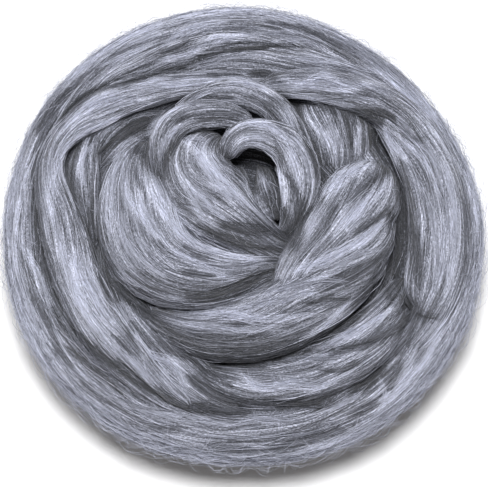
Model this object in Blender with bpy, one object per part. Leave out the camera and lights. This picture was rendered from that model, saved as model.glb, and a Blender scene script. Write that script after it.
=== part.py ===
"""A nest of combed wool roving: one long, soft, untwisted rope of fibre, wound flat and laid down.

The roving is laid as laps. The lowest turns make the round wall of the nest, the next ones lie on top
of them and lean towards the middle, and the last ones curl up around a small hollow, the eye. Each lap
is swept as a flattened rope on a stretch of a spiral. A skin is then shrunk over all of them, because
in the real nest the laps press together into one soft body, and its foot is cut flat where it rests.

Sizes in the table are in millimetres and degrees. +X points right, +Y away from the viewer, +Z up, and
the origin is on the surface that the nest rests on, under its middle.
"""

import math
from collections import namedtuple

import bmesh
import bpy
from mathutils import Vector

MM = 0.001

# Driving sizes of the nest
NEST_RADIUS = 100.0
RIM = (0.0, 0.0)  # the middle of the turns that make the wall
NEST = (0.0, -2.5)  # the middle of the upper turns, laid a little nearer to the viewer
EYE = (1.0, 17.5)  # the hollow that the last turns curl round
CORNER = (-42.0, 35.5)  # what the crossing lap turns round
FAN = (-83.6, 95.1)  # what the top of the front bundle turns round

# The section of the roving: thickness is this share of its width, with soft ridges of fibre along it
FLATNESS = 0.62
RIDGES = 7
RIDGE_DEPTH = 0.035
SECTION_POINTS = 42
NOSE = 0.7  # the length of a lap's rounded end, as a share of its width
TIP = 0.12

# How far the outer laps lean down the side of the nest
LEAN = math.radians(26.0)
LEAN_FROM = 0.55 * NEST_RADIUS
LEAN_FULL = 0.90 * NEST_RADIUS

STEP = 3.0  # millimetres between two sections of a lap

# A row for each lap, from the wall to the eye. centre is what the lap turns round. Radii, widths and
# crest heights are given at even steps from the start angle to the end angle.
Lap = namedtuple("Lap", "name centre start end radii widths crests")
LAPS = [
    Lap("foot_turn", RIM, 0, 360, (75, 73, 74, 75, 75, 76, 75, 75, 75), (39, 39), (23.8, 23.8)),
    Lap("inner_turn", NEST, 0, 360, (56, 56, 55, 56), (34, 34), (44, 44, 42, 44)),
    Lap("wall_turn", RIM, 0, 360, (82.3, 79, 82.3, 84.6, 82.7, 84, 82, 84.2, 82.3),
        (34, 34), (43, 44, 43, 42, 43)),
    Lap("far_wall_band", RIM, 168, 50, (89, 88, 87, 87, 83), (7, 12, 14, 12, 6), (39, 43, 44, 43, 39)),
    Lap("left_wall_band", RIM, 150, 236, (87, 89, 89, 87), (6, 12, 12, 6), (42, 43, 42, 40)),
    Lap("near_wall_band", RIM, 212, 328, (82, 85, 85, 85, 84), (7, 14, 16, 14, 8), (40, 43, 43, 43, 41)),
    Lap("right_wall_band", RIM, 55, -50, (83, 87, 90, 89, 86), (6, 12, 12, 12, 6), (38, 41, 41, 41, 40)),
    Lap("crimped_crest", NEST, 156, 62, (86, 82, 80, 79), (8, 12, 12, 7), (42, 48, 49, 45)),
    Lap("back_lap", NEST, 165, 32, (78, 73, 70, 73, 84), (12, 20, 22, 20, 12), (44, 48, 50, 50, 45)),
    Lap("shoulder_lap", NEST, 158, 122, (67, 66, 63.5, 60), (11, 20, 20, 12), (43, 48, 48, 45)),
    Lap("left_lap", NEST, 88, 254, (62, 65, 75, 84, 74, 72, 73.5, 79), (8, 11, 16, 11, 19, 20, 17, 10),
        (50, 52, 54, 53, 53, 53, 51, 45)),
    Lap("left_fold", NEST, 137, 188, (75, 73, 69.5, 65.5, 62.5),
        (7, 11, 13.5, 12, 8), (43, 47, 49, 48.5, 46)),
    Lap("near_left_lap", NEST, 186, 278, (56, 59, 65, 78), (14, 19, 22, 12), (46, 48, 48, 41)),
    Lap("near_lap", NEST, 252, 332, (64, 68, 70, 72.5, 73.5), (8, 16, 18, 17, 9), (45, 50, 51, 51, 44)),
    Lap("near_right_lap", NEST, 262, 341, (57, 61, 66, 68.5), (8, 14, 16, 9), (45, 49, 51, 46)),
    Lap("right_lap", NEST, 83, -40, (60, 68.5, 79.5, 84, 84.5, 83),
        (10, 15, 18, 18, 18, 9), (52, 55, 53, 51.5, 50, 42)),
    Lap("right_fold", NEST, 42, -26.5, (72, 72.5, 74, 75, 76, 78.5),
        (7, 12, 15, 17, 18.5, 18), (48, 52, 53, 53.5, 53, 49)),
    Lap("crossing_lap", CORNER, 23, -17, (79, 78.5, 78.5), (34, 40, 26), (46, 51, 44)),
    Lap("front_bundle", NEST, 31, -138, (51, 43.5, 42.5, 46.7, 54),
        (22, 35, 31, 26.5, 12), (45, 60, 62, 58, 48)),
    Lap("bundle_fan", FAN, -26, -55, (155.5, 157.5, 159.5, 161.5, 166),
        (29, 33, 31, 25, 12), (46, 56, 61, 62, 57)),
    Lap("left_bundle", NEST, 138, 334, (54, 44.3, 39.2, 29.6, 23.5, 23, 32), (18, 34, 35.5, 28, 18, 12, 8),
        (51, 58, 60, 60, 58, 53, 45)),
    Lap("heart_lap", EYE, 124, 318, (19, 19, 18, 25, 44), (20, 33, 33, 22, 10), (58, 63, 62, 59, 45)),
    Lap("far_arch", EYE, 140, 4, (38, 34.5, 29.5, 24, 25), (8, 12, 12, 11, 8), (52, 59, 61, 60, 54)),
    Lap("left_arch", EYE, 186, 84, (34, 35, 26, 21), (9, 13, 12, 8), (54, 63, 63, 57)),
    Lap("eye_arch", EYE, 152, -64, (10, 12, 14, 18.5, 23, 29),
        (7, 11, 13, 16, 16, 7), (58, 66, 68, 67, 62, 50)),
    Lap("eye_fold", NEST, 78, 4, (27, 17.5, 13.5, 12, 14), (7, 11, 12.5, 10, 6), (47, 54, 57, 56, 51)),
    Lap("eye_lip", EYE, 12, -50, (12, 15.5, 21), (3, 5, 3), (56, 62, 56)),
]

# The packed middle that the upper laps lie on
HEART_RADIUS = 85.0
HEART_HALF_HEIGHT = 34.0
HEART_MIDDLE = 15.0

# The skin starts as an egg round all the laps, and is thinned out once it is shrunk onto them
EGG_RADIUS = 109.0
EGG_HALF_HEIGHT = 48.0
EGG_MIDDLE = 25.0
EGG_SUBDIVISIONS = 7
SKIN_SMOOTHING = 0.5
SKIN_PASSES = 2
SKIN_KEEP = 0.125

WOOL_GREY = (0.36, 0.37, 0.41, 1.0)


def along(values, t):
    """The value at t, from 0 to 1, on a smooth curve through evenly spaced values."""
    last = len(values) - 1
    place = min(max(t, 0.0), 1.0) * last
    i = min(int(place), last - 1)
    f = place - i
    p0, p1, p2, p3 = (values[min(max(k, 0), last)] for k in (i - 1, i, i + 1, i + 2))
    return p1 + 0.5 * f * (p2 - p0 + f * (2 * p0 - 5 * p1 + 4 * p2 - p3 + f * (3 * (p1 - p2) + p3 - p0)))


def nose(distance, width, lap):
    """How far a lap has swelled at this distance from its end, from a small blunt tip to 1."""
    if lap.end - lap.start == 360:
        return 1.0
    left = 1.0 - min(distance / (NOSE * width), 1.0)
    return max(math.sqrt(1.0 - left * left), TIP)


def lap_stations(lap):
    """(point, half width, lean) at even steps along a lap, in metres and radians."""
    turn = math.radians(lap.end - lap.start)
    length = abs(turn) * sum(lap.radii) / len(lap.radii)
    count = max(8, round(length / STEP))
    stations = []
    for i in range(count + 1):
        t = i / count
        angle = math.radians(lap.start) + turn * t
        radius = along(lap.radii, t)
        width = along(lap.widths, t)
        thick = width * FLATNESS
        x = lap.centre[0] + radius * math.cos(angle)
        y = lap.centre[1] + radius * math.sin(angle)
        z = along(lap.crests, t) - thick / 2
        out = (math.hypot(x, y) - LEAN_FROM) / (LEAN_FULL - LEAN_FROM)
        lean = LEAN * min(max(out, 0.0), 1.0) * math.copysign(1.0, turn)
        half_width = width / 2 * nose(length * min(t, 1.0 - t), width, lap)
        stations.append((Vector((x, y, z)) * MM, half_width * MM, lean))
    return stations


def roving_section(helpers):
    """The outline of the roving's section, drawn with a half width of 1, with ridges of fibre round it."""
    curve = bpy.data.curves.new("roving_section", "CURVE")
    spline = curve.splines.new("POLY")
    spline.points.add(SECTION_POINTS - 1)
    for i, point in enumerate(spline.points):
        angle = math.tau * i / SECTION_POINTS
        swell = 1.0 + RIDGE_DEPTH * math.cos(RIDGES * angle)
        point.co = (swell * math.cos(angle), swell * FLATNESS * math.sin(angle), 0.0, 1.0)
    spline.use_cyclic_u = True
    section = bpy.data.objects.new("roving_section", curve)
    helpers.objects.link(section)
    return section


def lap_rope(lap, section, helpers):
    """One lap, swept along its stretch of the spiral and made a mesh with closed ends."""
    curve = bpy.data.curves.new(lap.name, "CURVE")
    curve.dimensions = "3D"
    curve.twist_mode = "Z_UP"
    curve.bevel_mode = "OBJECT"
    curve.bevel_object = section
    curve.use_fill_caps = True
    stations = lap_stations(lap)
    closed = lap.end - lap.start == 360
    if closed:
        stations.pop()
    spline = curve.splines.new("POLY")
    spline.points.add(len(stations) - 1)
    for point, (place, half_width, lean) in zip(spline.points, stations):
        point.co = (*place, 1.0)
        point.radius = half_width
        point.tilt = lean
    spline.use_cyclic_u = closed
    rope = bpy.data.objects.new(lap.name + "_path", curve)
    helpers.objects.link(rope)
    bpy.context.view_layer.update()
    mesh = bpy.data.meshes.new_from_object(rope.evaluated_get(bpy.context.evaluated_depsgraph_get()))
    bpy.data.objects.remove(rope)
    return mesh


def egg(name, radius, half_height, middle, subdivisions):
    """A ball of even triangles, flattened to an egg lying on its side."""
    shape = bmesh.new()
    bmesh.ops.create_icosphere(shape, subdivisions=subdivisions, radius=1.0)
    bmesh.ops.scale(shape, vec=Vector((radius, radius, half_height)) * MM, verts=shape.verts)
    bmesh.ops.translate(shape, vec=Vector((0.0, 0.0, middle)) * MM, verts=shape.verts)
    mesh = bpy.data.meshes.new(name)
    shape.to_mesh(mesh)
    shape.free()
    return mesh


def wound_laps(helpers):
    """All the laps and the packed middle in one helper mesh, which the skin is shrunk onto."""
    section = roving_section(helpers)
    laid = bmesh.new()
    meshes = [lap_rope(lap, section, helpers) for lap in LAPS]
    meshes.append(egg("packed_middle", HEART_RADIUS, HEART_HALF_HEIGHT, HEART_MIDDLE, 5))
    for mesh in meshes:
        laid.from_mesh(mesh)
    joined = bpy.data.meshes.new("wound_laps")
    laid.to_mesh(joined)
    laid.free()
    wound = bpy.data.objects.new("wound_laps", joined)
    helpers.objects.link(wound)
    wound.hide_render = True
    wound.display_type = "WIRE"
    return wound


def wool_material():
    """Grey wool with a soft, dull surface."""
    material = bpy.data.materials.new("grey_wool")
    material.use_nodes = True
    shader = material.node_tree.nodes["Principled BSDF"]
    shader.inputs["Base Color"].default_value = WOOL_GREY
    shader.inputs["Roughness"].default_value = 0.75
    shader.inputs["Metallic"].default_value = 0.0
    material.diffuse_color = WOOL_GREY
    return material


def shrunk_skin(wound, helpers):
    """The egg shrunk onto the laps from outside, smoothed and thinned, as a mesh."""
    ball = egg("skin", EGG_RADIUS, EGG_HALF_HEIGHT, EGG_MIDDLE, EGG_SUBDIVISIONS)
    skin = bpy.data.objects.new("skin", ball)
    helpers.objects.link(skin)
    shrink = skin.modifiers.new("shrink", "SHRINKWRAP")
    shrink.target = wound
    shrink.wrap_method = "PROJECT"
    shrink.use_negative_direction = True
    shrink.use_positive_direction = False
    smooth = skin.modifiers.new("smooth", "SMOOTH")
    smooth.factor = SKIN_SMOOTHING
    smooth.iterations = SKIN_PASSES
    thin = skin.modifiers.new("thin", "DECIMATE")
    thin.ratio = SKIN_KEEP
    bpy.context.view_layer.update()
    mesh = bpy.data.meshes.new_from_object(skin.evaluated_get(bpy.context.evaluated_depsgraph_get()))
    bpy.data.objects.remove(skin)
    return mesh


def centre_over_origin(shape):
    """Slides the shape so that the middle of its outline, seen from above, is over the origin."""
    for axis in (0, 1):
        places = [vertex.co[axis] for vertex in shape.verts]
        slide = Vector((0.0, 0.0, 0.0))
        slide[axis] = -(min(places) + max(places)) / 2
        bmesh.ops.translate(shape, vec=slide, verts=shape.verts)


def cut_foot(mesh):
    """Cuts the skin flat at z = 0, where the nest rests, and closes it with one flat face."""
    shape = bmesh.new()
    shape.from_mesh(mesh)
    bmesh.ops.bisect_plane(
        shape,
        geom=[*shape.verts, *shape.edges, *shape.faces],
        dist=1e-6,
        plane_co=(0.0, 0.0, 0.0),
        plane_no=(0.0, 0.0, -1.0),
        clear_outer=True,
    )
    rim = [edge for edge in shape.edges if edge.is_boundary]
    bmesh.ops.edgeloop_fill(shape, edges=rim)
    bmesh.ops.triangulate(shape, faces=shape.faces)
    bmesh.ops.recalc_face_normals(shape, faces=shape.faces)
    centre_over_origin(shape)
    shape.to_mesh(mesh)
    shape.free()


def collection(name):
    """A new collection in the scene."""
    made = bpy.data.collections.new(name)
    bpy.context.scene.collection.children.link(made)
    return made


def main():
    for old in list(bpy.data.objects):
        bpy.data.objects.remove(old)
    parts = collection("wool_roving")
    helpers = collection("helpers")
    helpers.hide_render = True
    wound = wound_laps(helpers)
    mesh = shrunk_skin(wound, helpers)
    cut_foot(mesh)
    mesh.materials.clear()
    mesh.materials.append(wool_material())
    mesh.shade_smooth()
    nest = bpy.data.objects.new("roving_nest", mesh)
    parts.objects.link(nest)
    print("skin triangles:", len(mesh.polygons))


main()
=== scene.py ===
# %% [markdown]
# # A nest of combed wool roving
#
# Roving, or wool top, is wool that has been combed into one long soft rope, as thick as two thumbs, with
# no twist in it. Spinners and felters buy it wound into a loose nest like this one. The rope here is a
# blend: grey wool with strands of white silk combed in, which show as bright streaks that follow every
# bend. A nest is therefore built in three layers. The laps of the rope give it its form, thousands of
# fibres laid along them give it its grain, and loose hairs give it its soft edge.
#
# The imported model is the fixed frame. Its one solid, `roving_nest`, has the outer form of all the laps.

import math
from collections import namedtuple

import bpy
import numpy as np
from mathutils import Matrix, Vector
from mathutils.bvhtree import BVHTree


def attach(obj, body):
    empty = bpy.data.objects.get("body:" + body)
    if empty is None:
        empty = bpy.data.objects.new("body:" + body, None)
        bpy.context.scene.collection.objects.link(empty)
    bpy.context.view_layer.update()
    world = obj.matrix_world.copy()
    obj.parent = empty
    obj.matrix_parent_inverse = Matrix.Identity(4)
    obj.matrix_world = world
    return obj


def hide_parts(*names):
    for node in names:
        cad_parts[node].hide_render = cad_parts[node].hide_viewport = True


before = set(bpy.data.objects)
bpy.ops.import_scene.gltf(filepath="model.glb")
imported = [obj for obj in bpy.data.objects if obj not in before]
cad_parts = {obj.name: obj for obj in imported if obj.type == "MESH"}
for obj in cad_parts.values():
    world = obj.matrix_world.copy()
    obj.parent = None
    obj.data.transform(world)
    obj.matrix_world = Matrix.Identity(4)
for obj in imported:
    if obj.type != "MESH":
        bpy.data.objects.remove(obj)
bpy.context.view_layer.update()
MM = 0.001
SEED = 41


# %% [markdown]
# ## The camera
#
# The camera comes first, because everything else is judged through it. A nest like this is usually
# photographed from almost straight above with a long lens, which keeps the round outline round. So the
# camera is over a metre away, leans 18 degrees from the vertical, and its lens is worked out from the
# width of the view.

# %% Camera
VIEW_ELEVATION = math.radians(72.0)
VIEW_DISTANCE = 1.2
VIEW_WIDTH = 0.2021  # metres across the picture, at the nest
LOOK_AT = Vector((-0.0002, -0.0048, 0.028))


def add_camera():
    """A long lens that looks down on the nest from the front."""
    data = bpy.data.cameras.new("camera")
    data.sensor_width = 36.0
    data.lens = data.sensor_width * VIEW_DISTANCE / VIEW_WIDTH
    data.clip_end = 10.0
    placed = bpy.data.objects.new("camera", data)
    back = Vector((0.0, -math.cos(VIEW_ELEVATION), math.sin(VIEW_ELEVATION)))
    placed.location = LOOK_AT + back * VIEW_DISTANCE
    placed.rotation_euler = (-back).to_track_quat("-Z", "Y").to_euler()
    bpy.context.scene.collection.objects.link(placed)
    bpy.context.scene.camera = placed
    return placed


camera = add_camera()
print("lens:", round(camera.data.lens, 1), "mm")


# %% [markdown]
# ## The laps of the rope
#
# The nest is one rope, but the eye reads it as laps: a stretch of rope that comes up from under one
# neighbour and dives below another. Each lap is an arc round one of a few centres. Its row gives the
# radius, the width and the height of its crest at even steps along the arc, in millimetres, and a smooth
# curve through those values gives every place between them. Arcs are used, not free-hand curves, because
# a hand that winds a rope turns it round a middle. The first turns are packed under the rest: one wide
# ring stands for them, and is only seen down in the hollow.

# %% The table of laps
RIM = (0.0, 0.0)  # the middle of the turns that make the wall
NEST = (0.0, -2.5)  # the middle of the upper turns
EYE = (1.0, 17.5)  # the hollow that the last turns curl round
CORNER = (-42.0, 35.5)  # what the crossing lap turns round
FAN = (-83.6, 95.1)  # what the top of the front bundle turns round

Lap = namedtuple("Lap", "name centre start end radii widths crests")
LAPS = [
    Lap("foot_turn", RIM, 0, 360, (75, 73, 74, 75, 75, 76, 75, 75, 75), (39, 39), (23.8, 23.8)),
    Lap("inner_turn", NEST, 0, 360, (56, 56, 55, 56), (34, 34), (44, 44, 42, 44)),
    Lap("wall_turn", RIM, 0, 360, (82.3, 79, 82.3, 84.6, 82.7, 84, 82, 84.2, 82.3),
        (34, 34), (43, 44, 43, 42, 43)),
    Lap("far_wall_band", RIM, 168, 50, (89, 88, 87, 87, 83), (7, 12, 14, 12, 6), (39, 43, 44, 43, 39)),
    Lap("left_wall_band", RIM, 150, 236, (87, 89, 89, 87), (6, 12, 12, 6), (42, 43, 42, 40)),
    Lap("near_wall_band", RIM, 212, 328, (82, 85, 85, 85, 84), (7, 14, 16, 14, 8), (40, 43, 43, 43, 41)),
    Lap("right_wall_band", RIM, 55, -50, (83, 87, 90, 89, 86), (6, 12, 12, 12, 6), (38, 41, 41, 41, 40)),
    Lap("crimped_crest", NEST, 156, 62, (86, 82, 80, 79), (8, 12, 12, 7), (42, 48, 49, 45)),
    Lap("back_lap", NEST, 165, 32, (78, 73, 70, 73, 84), (12, 20, 22, 20, 12), (44, 48, 50, 50, 45)),
    Lap("shoulder_lap", NEST, 158, 122, (67, 66, 63.5, 60), (11, 20, 20, 12), (43, 48, 48, 45)),
    Lap("left_lap", NEST, 88, 254, (62, 65, 75, 84, 74, 72, 73.5, 79), (8, 11, 16, 11, 19, 20, 17, 10),
        (50, 52, 54, 53, 53, 53, 51, 45)),
    Lap("left_fold", NEST, 137, 188, (75, 73, 69.5, 65.5, 62.5),
        (7, 11, 13.5, 12, 8), (43, 47, 49, 48.5, 46)),
    Lap("near_left_lap", NEST, 186, 278, (56, 59, 65, 78), (14, 19, 22, 12), (46, 48, 48, 41)),
    Lap("near_lap", NEST, 252, 332, (64, 68, 70, 72.5, 73.5), (8, 16, 18, 17, 9), (45, 50, 51, 51, 44)),
    Lap("near_right_lap", NEST, 262, 341, (57, 61, 66, 68.5), (8, 14, 16, 9), (45, 49, 51, 46)),
    Lap("right_lap", NEST, 83, -40, (60, 68.5, 79.5, 84, 84.5, 83),
        (10, 15, 18, 18, 18, 9), (52, 55, 53, 51.5, 50, 42)),
    Lap("right_fold", NEST, 42, -26.5, (72, 72.5, 74, 75, 76, 78.5),
        (7, 12, 15, 17, 18.5, 18), (48, 52, 53, 53.5, 53, 49)),
    Lap("crossing_lap", CORNER, 23, -17, (79, 78.5, 78.5), (34, 40, 26), (46, 51, 44)),
    Lap("front_bundle", NEST, 31, -138, (51, 43.5, 42.5, 46.7, 54),
        (22, 35, 31, 26.5, 12), (45, 60, 62, 58, 48)),
    Lap("bundle_fan", FAN, -26, -55, (155.5, 157.5, 159.5, 161.5, 166),
        (29, 33, 31, 25, 12), (46, 56, 61, 62, 57)),
    Lap("left_bundle", NEST, 138, 334, (54, 44.3, 39.2, 29.6, 23.5, 23, 32), (18, 34, 35.5, 28, 18, 12, 8),
        (51, 58, 60, 60, 58, 53, 45)),
    Lap("heart_lap", EYE, 124, 318, (19, 19, 18, 25, 44), (20, 33, 33, 22, 10), (58, 63, 62, 59, 45)),
    Lap("far_arch", EYE, 140, 4, (38, 34.5, 29.5, 24, 25), (8, 12, 12, 11, 8), (52, 59, 61, 60, 54)),
    Lap("left_arch", EYE, 186, 84, (34, 35, 26, 21), (9, 13, 12, 8), (54, 63, 63, 57)),
    Lap("eye_arch", EYE, 152, -64, (10, 12, 14, 18.5, 23, 29),
        (7, 11, 13, 16, 16, 7), (58, 66, 68, 67, 62, 50)),
    Lap("eye_fold", NEST, 78, 4, (27, 17.5, 13.5, 12, 14), (7, 11, 12.5, 10, 6), (47, 54, 57, 56, 51)),
    Lap("eye_lip", EYE, 12, -50, (12, 15.5, 21), (3, 5, 3), (56, 62, 56)),
]
PACKED = Lap("packed_middle", NEST, 0, 360, (42, 42), (84, 84), (46, 46))
ALL_LAPS = LAPS + [PACKED]
print(len(LAPS), "laps and a packed middle")


# %% [markdown]
# ## A place on a lap
#
# Every later step needs to know where a point of a lap is, so one function answers that: give it a share
# of the way along the lap and an angle round its section, and it gives the point and the direction out of
# the surface. It works on whole arrays at once, which is what makes thousands of fibres affordable.
# The section is a flattened round, the rope's ends narrow to a nose, and laps that lie near the wall lean
# down it. This cell holds the lap's middle line, its width and the way it leans.

# %% Geometry of a lap
FLATNESS = 0.62  # thickness, as a share of width
NOSE = 0.7  # the length of a rounded end, as a share of the width
TIP = 0.12  # the width left at the very end, as a share of the width
LEAN = math.radians(26.0)
LEAN_FROM, LEAN_FULL = 55.0, 90.0  # millimetres from the middle, where laps begin to lean and lean fully
ROUND_SHARE = 0.82  # a flattened section's outline, as a share of a circle's of the same width


def along(values, t):
    """The values at the shares t on a smooth curve through evenly spaced values."""
    values = np.asarray(values, float)
    place = np.clip(t, 0.0, 1.0) * (len(values) - 1)
    i = np.minimum(place.astype(int), len(values) - 2)
    f = place - i
    p0, p1, p2, p3 = (values[np.clip(i + k, 0, len(values) - 1)] for k in (-1, 0, 1, 2))
    return p1 + 0.5 * f * (p2 - p0 + f * (2 * p0 - 5 * p1 + 4 * p2 - p3 + f * (3 * (p1 - p2) + p3 - p0)))


def is_ring(lap):
    return lap.end - lap.start == 360


def lap_length(lap):
    """The length of a lap in millimetres."""
    return abs(math.radians(lap.end - lap.start)) * sum(lap.radii) / len(lap.radii)


def nominal_width(lap):
    return max(lap.widths)


def middle_line(lap, t):
    """Points on the middle line of a lap."""
    if is_ring(lap):
        t = t % 1.0
    angle = math.radians(lap.start) + math.radians(lap.end - lap.start) * t
    radius = along(lap.radii, t)
    x = lap.centre[0] + radius * np.cos(angle)
    y = lap.centre[1] + radius * np.sin(angle)
    z = along(lap.crests, t) - along(lap.widths, t) * FLATNESS / 2
    return np.stack([x, y, z], -1)


def unit(v):
    return v / np.maximum(np.linalg.norm(v, axis=-1, keepdims=True), 1e-9)


def half_width(lap, t):
    """Half the width of a lap, with its rounded ends."""
    width = along(lap.widths, t % 1.0 if is_ring(lap) else t)
    if is_ring(lap):
        return width / 2
    distance = lap_length(lap) * np.minimum(t, 1.0 - t)
    left = 1.0 - np.clip(distance / (NOSE * width), 0.0, 1.0)
    return width / 2 * np.maximum(np.sqrt(1.0 - left * left), TIP)


def section_frame(lap, t):
    """Middle, direction to the lap's outer side and direction up, at the shares t."""
    step = 1e-3
    ahead, behind = t + step, t - step
    if not is_ring(lap):
        ahead, behind = np.minimum(ahead, 1.0), np.maximum(behind, 0.0)
    turn = math.copysign(1.0, lap.end - lap.start)
    middle = middle_line(lap, t)
    tangent = unit(middle_line(lap, ahead) - middle_line(lap, behind))
    side = unit(np.cross(tangent, [0.0, 0.0, 1.0])) * turn
    up = np.cross(side, tangent) * turn
    out = (np.hypot(middle[..., 0], middle[..., 1]) - LEAN_FROM) / (LEAN_FULL - LEAN_FROM)
    lean = (LEAN * np.clip(out, 0.0, 1.0))[..., None]
    return middle, side * np.cos(lean) - up * np.sin(lean), up * np.cos(lean) + side * np.sin(lean)


print("rope in all laps:", round(sum(lap_length(lap) for lap in LAPS) / 1000, 2), "m")


# %% [markdown]
# ## Locks and creases
#
# Combed fibres cling together in locks a few millimetres wide, with a crease between one lock and the
# next. The locks run along the rope, wander a little, and split and join. Soft lattice noise, stretched
# along the rope, does this: folded at its middle value it gives rounded ridges with sharp creases. The
# same noise also bends the flow that the fibres follow, so locks, creases and fibres agree. Two places
# u and v are measured in millimetres over the surface, u along the lap and v round it.

# %% Noise and relief
TABLE = np.random.default_rng(SEED).random((256, 256))
Waves = namedtuple("Waves", "along across size")  # all in millimetres
DRIFTS = [Waves(34, 16, 3.2), Waves(11, 5, 0.9)]  # how the flow wanders to the side
LOCKS = [Waves(70, 7.5, 1.6), Waves(38, 3.4, 0.7), Waves(24, 1.7, 0.25)]
LOCK_LEVEL = 1.15  # takes the locks down, so that their mean height is near the plain section's
LAYERS_EACH = 7  # layers of noise to a lap: two for drifts, three for locks and two for its greys
LAYERS = {lap.name: LAYERS_EACH * i for i, lap in enumerate(ALL_LAPS)}
# How far a lap's grain turns round its section, in millimetres, and by what share of its length
TWIST = {
    "front_bundle": (24.0, 0.6),
    "heart_lap": (13.0, 0.8),
    "crossing_lap": (-13.0, 1.0),
}


def ease(x):
    """From 0 to 1 with a soft start and a soft end."""
    return x * x * (3 - 2 * x)


def between(grid, ix, iy, fx, fy):
    """The value at the shares fx and fy between four neighbouring cells of a square grid."""
    jx, jy = (ix + 1) % len(grid), (iy + 1) % len(grid)
    near = grid[ix, iy] * (1 - fx) + grid[jx, iy] * fx
    far = grid[ix, jy] * (1 - fx) + grid[jx, jy] * fx
    return near * (1 - fy) + far * fy


def noise(x, y, layer=0):
    """Smooth noise from 0 to 1 with one bump in each unit square."""
    x = np.asarray(x, float) + 17.31 * layer
    y = np.asarray(y, float) + 41.7 * layer
    ix, iy = np.floor(x).astype(int), np.floor(y).astype(int)
    return between(TABLE, ix % len(TABLE), iy % len(TABLE), ease(x - ix), ease(y - iy))


def twisted(lap, t):
    """How far round its section a lap's grain has turned, in millimetres: most laps have no twist."""
    across, by = TWIST.get(lap.name, (0.0, 1.0))
    return across * ease(np.clip(t / by, 0.0, 1.0))


def flow_bend(lap, u, v):
    """How far the fibres have drifted sideways at a place, in millimetres."""
    layer = LAYERS[lap.name]
    return sum(w.size * (noise(u / w.along, v / w.across, layer + k) - 0.5) for k, w in enumerate(DRIFTS))


def relief(lap, u, v):
    """Height of the locks at a place, in millimetres: broad ones, and finer ones on them."""
    layer = LAYERS[lap.name] + len(DRIFTS)
    v = v + flow_bend(lap, u, v) - twisted(lap, u / lap_length(lap))
    folds = (np.abs(2 * noise(u / w.along, v / w.across, layer + k) - 1) for k, w in enumerate(LOCKS))
    return sum(w.size * fold for w, fold in zip(LOCKS, folds)) - LOCK_LEVEL


places = np.random.default_rng(1).random((2, 9999)) * 90
print("relief in mm, low and high:", *np.round(np.percentile(relief(LAPS[2], *places), [1, 99]), 2))
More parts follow.
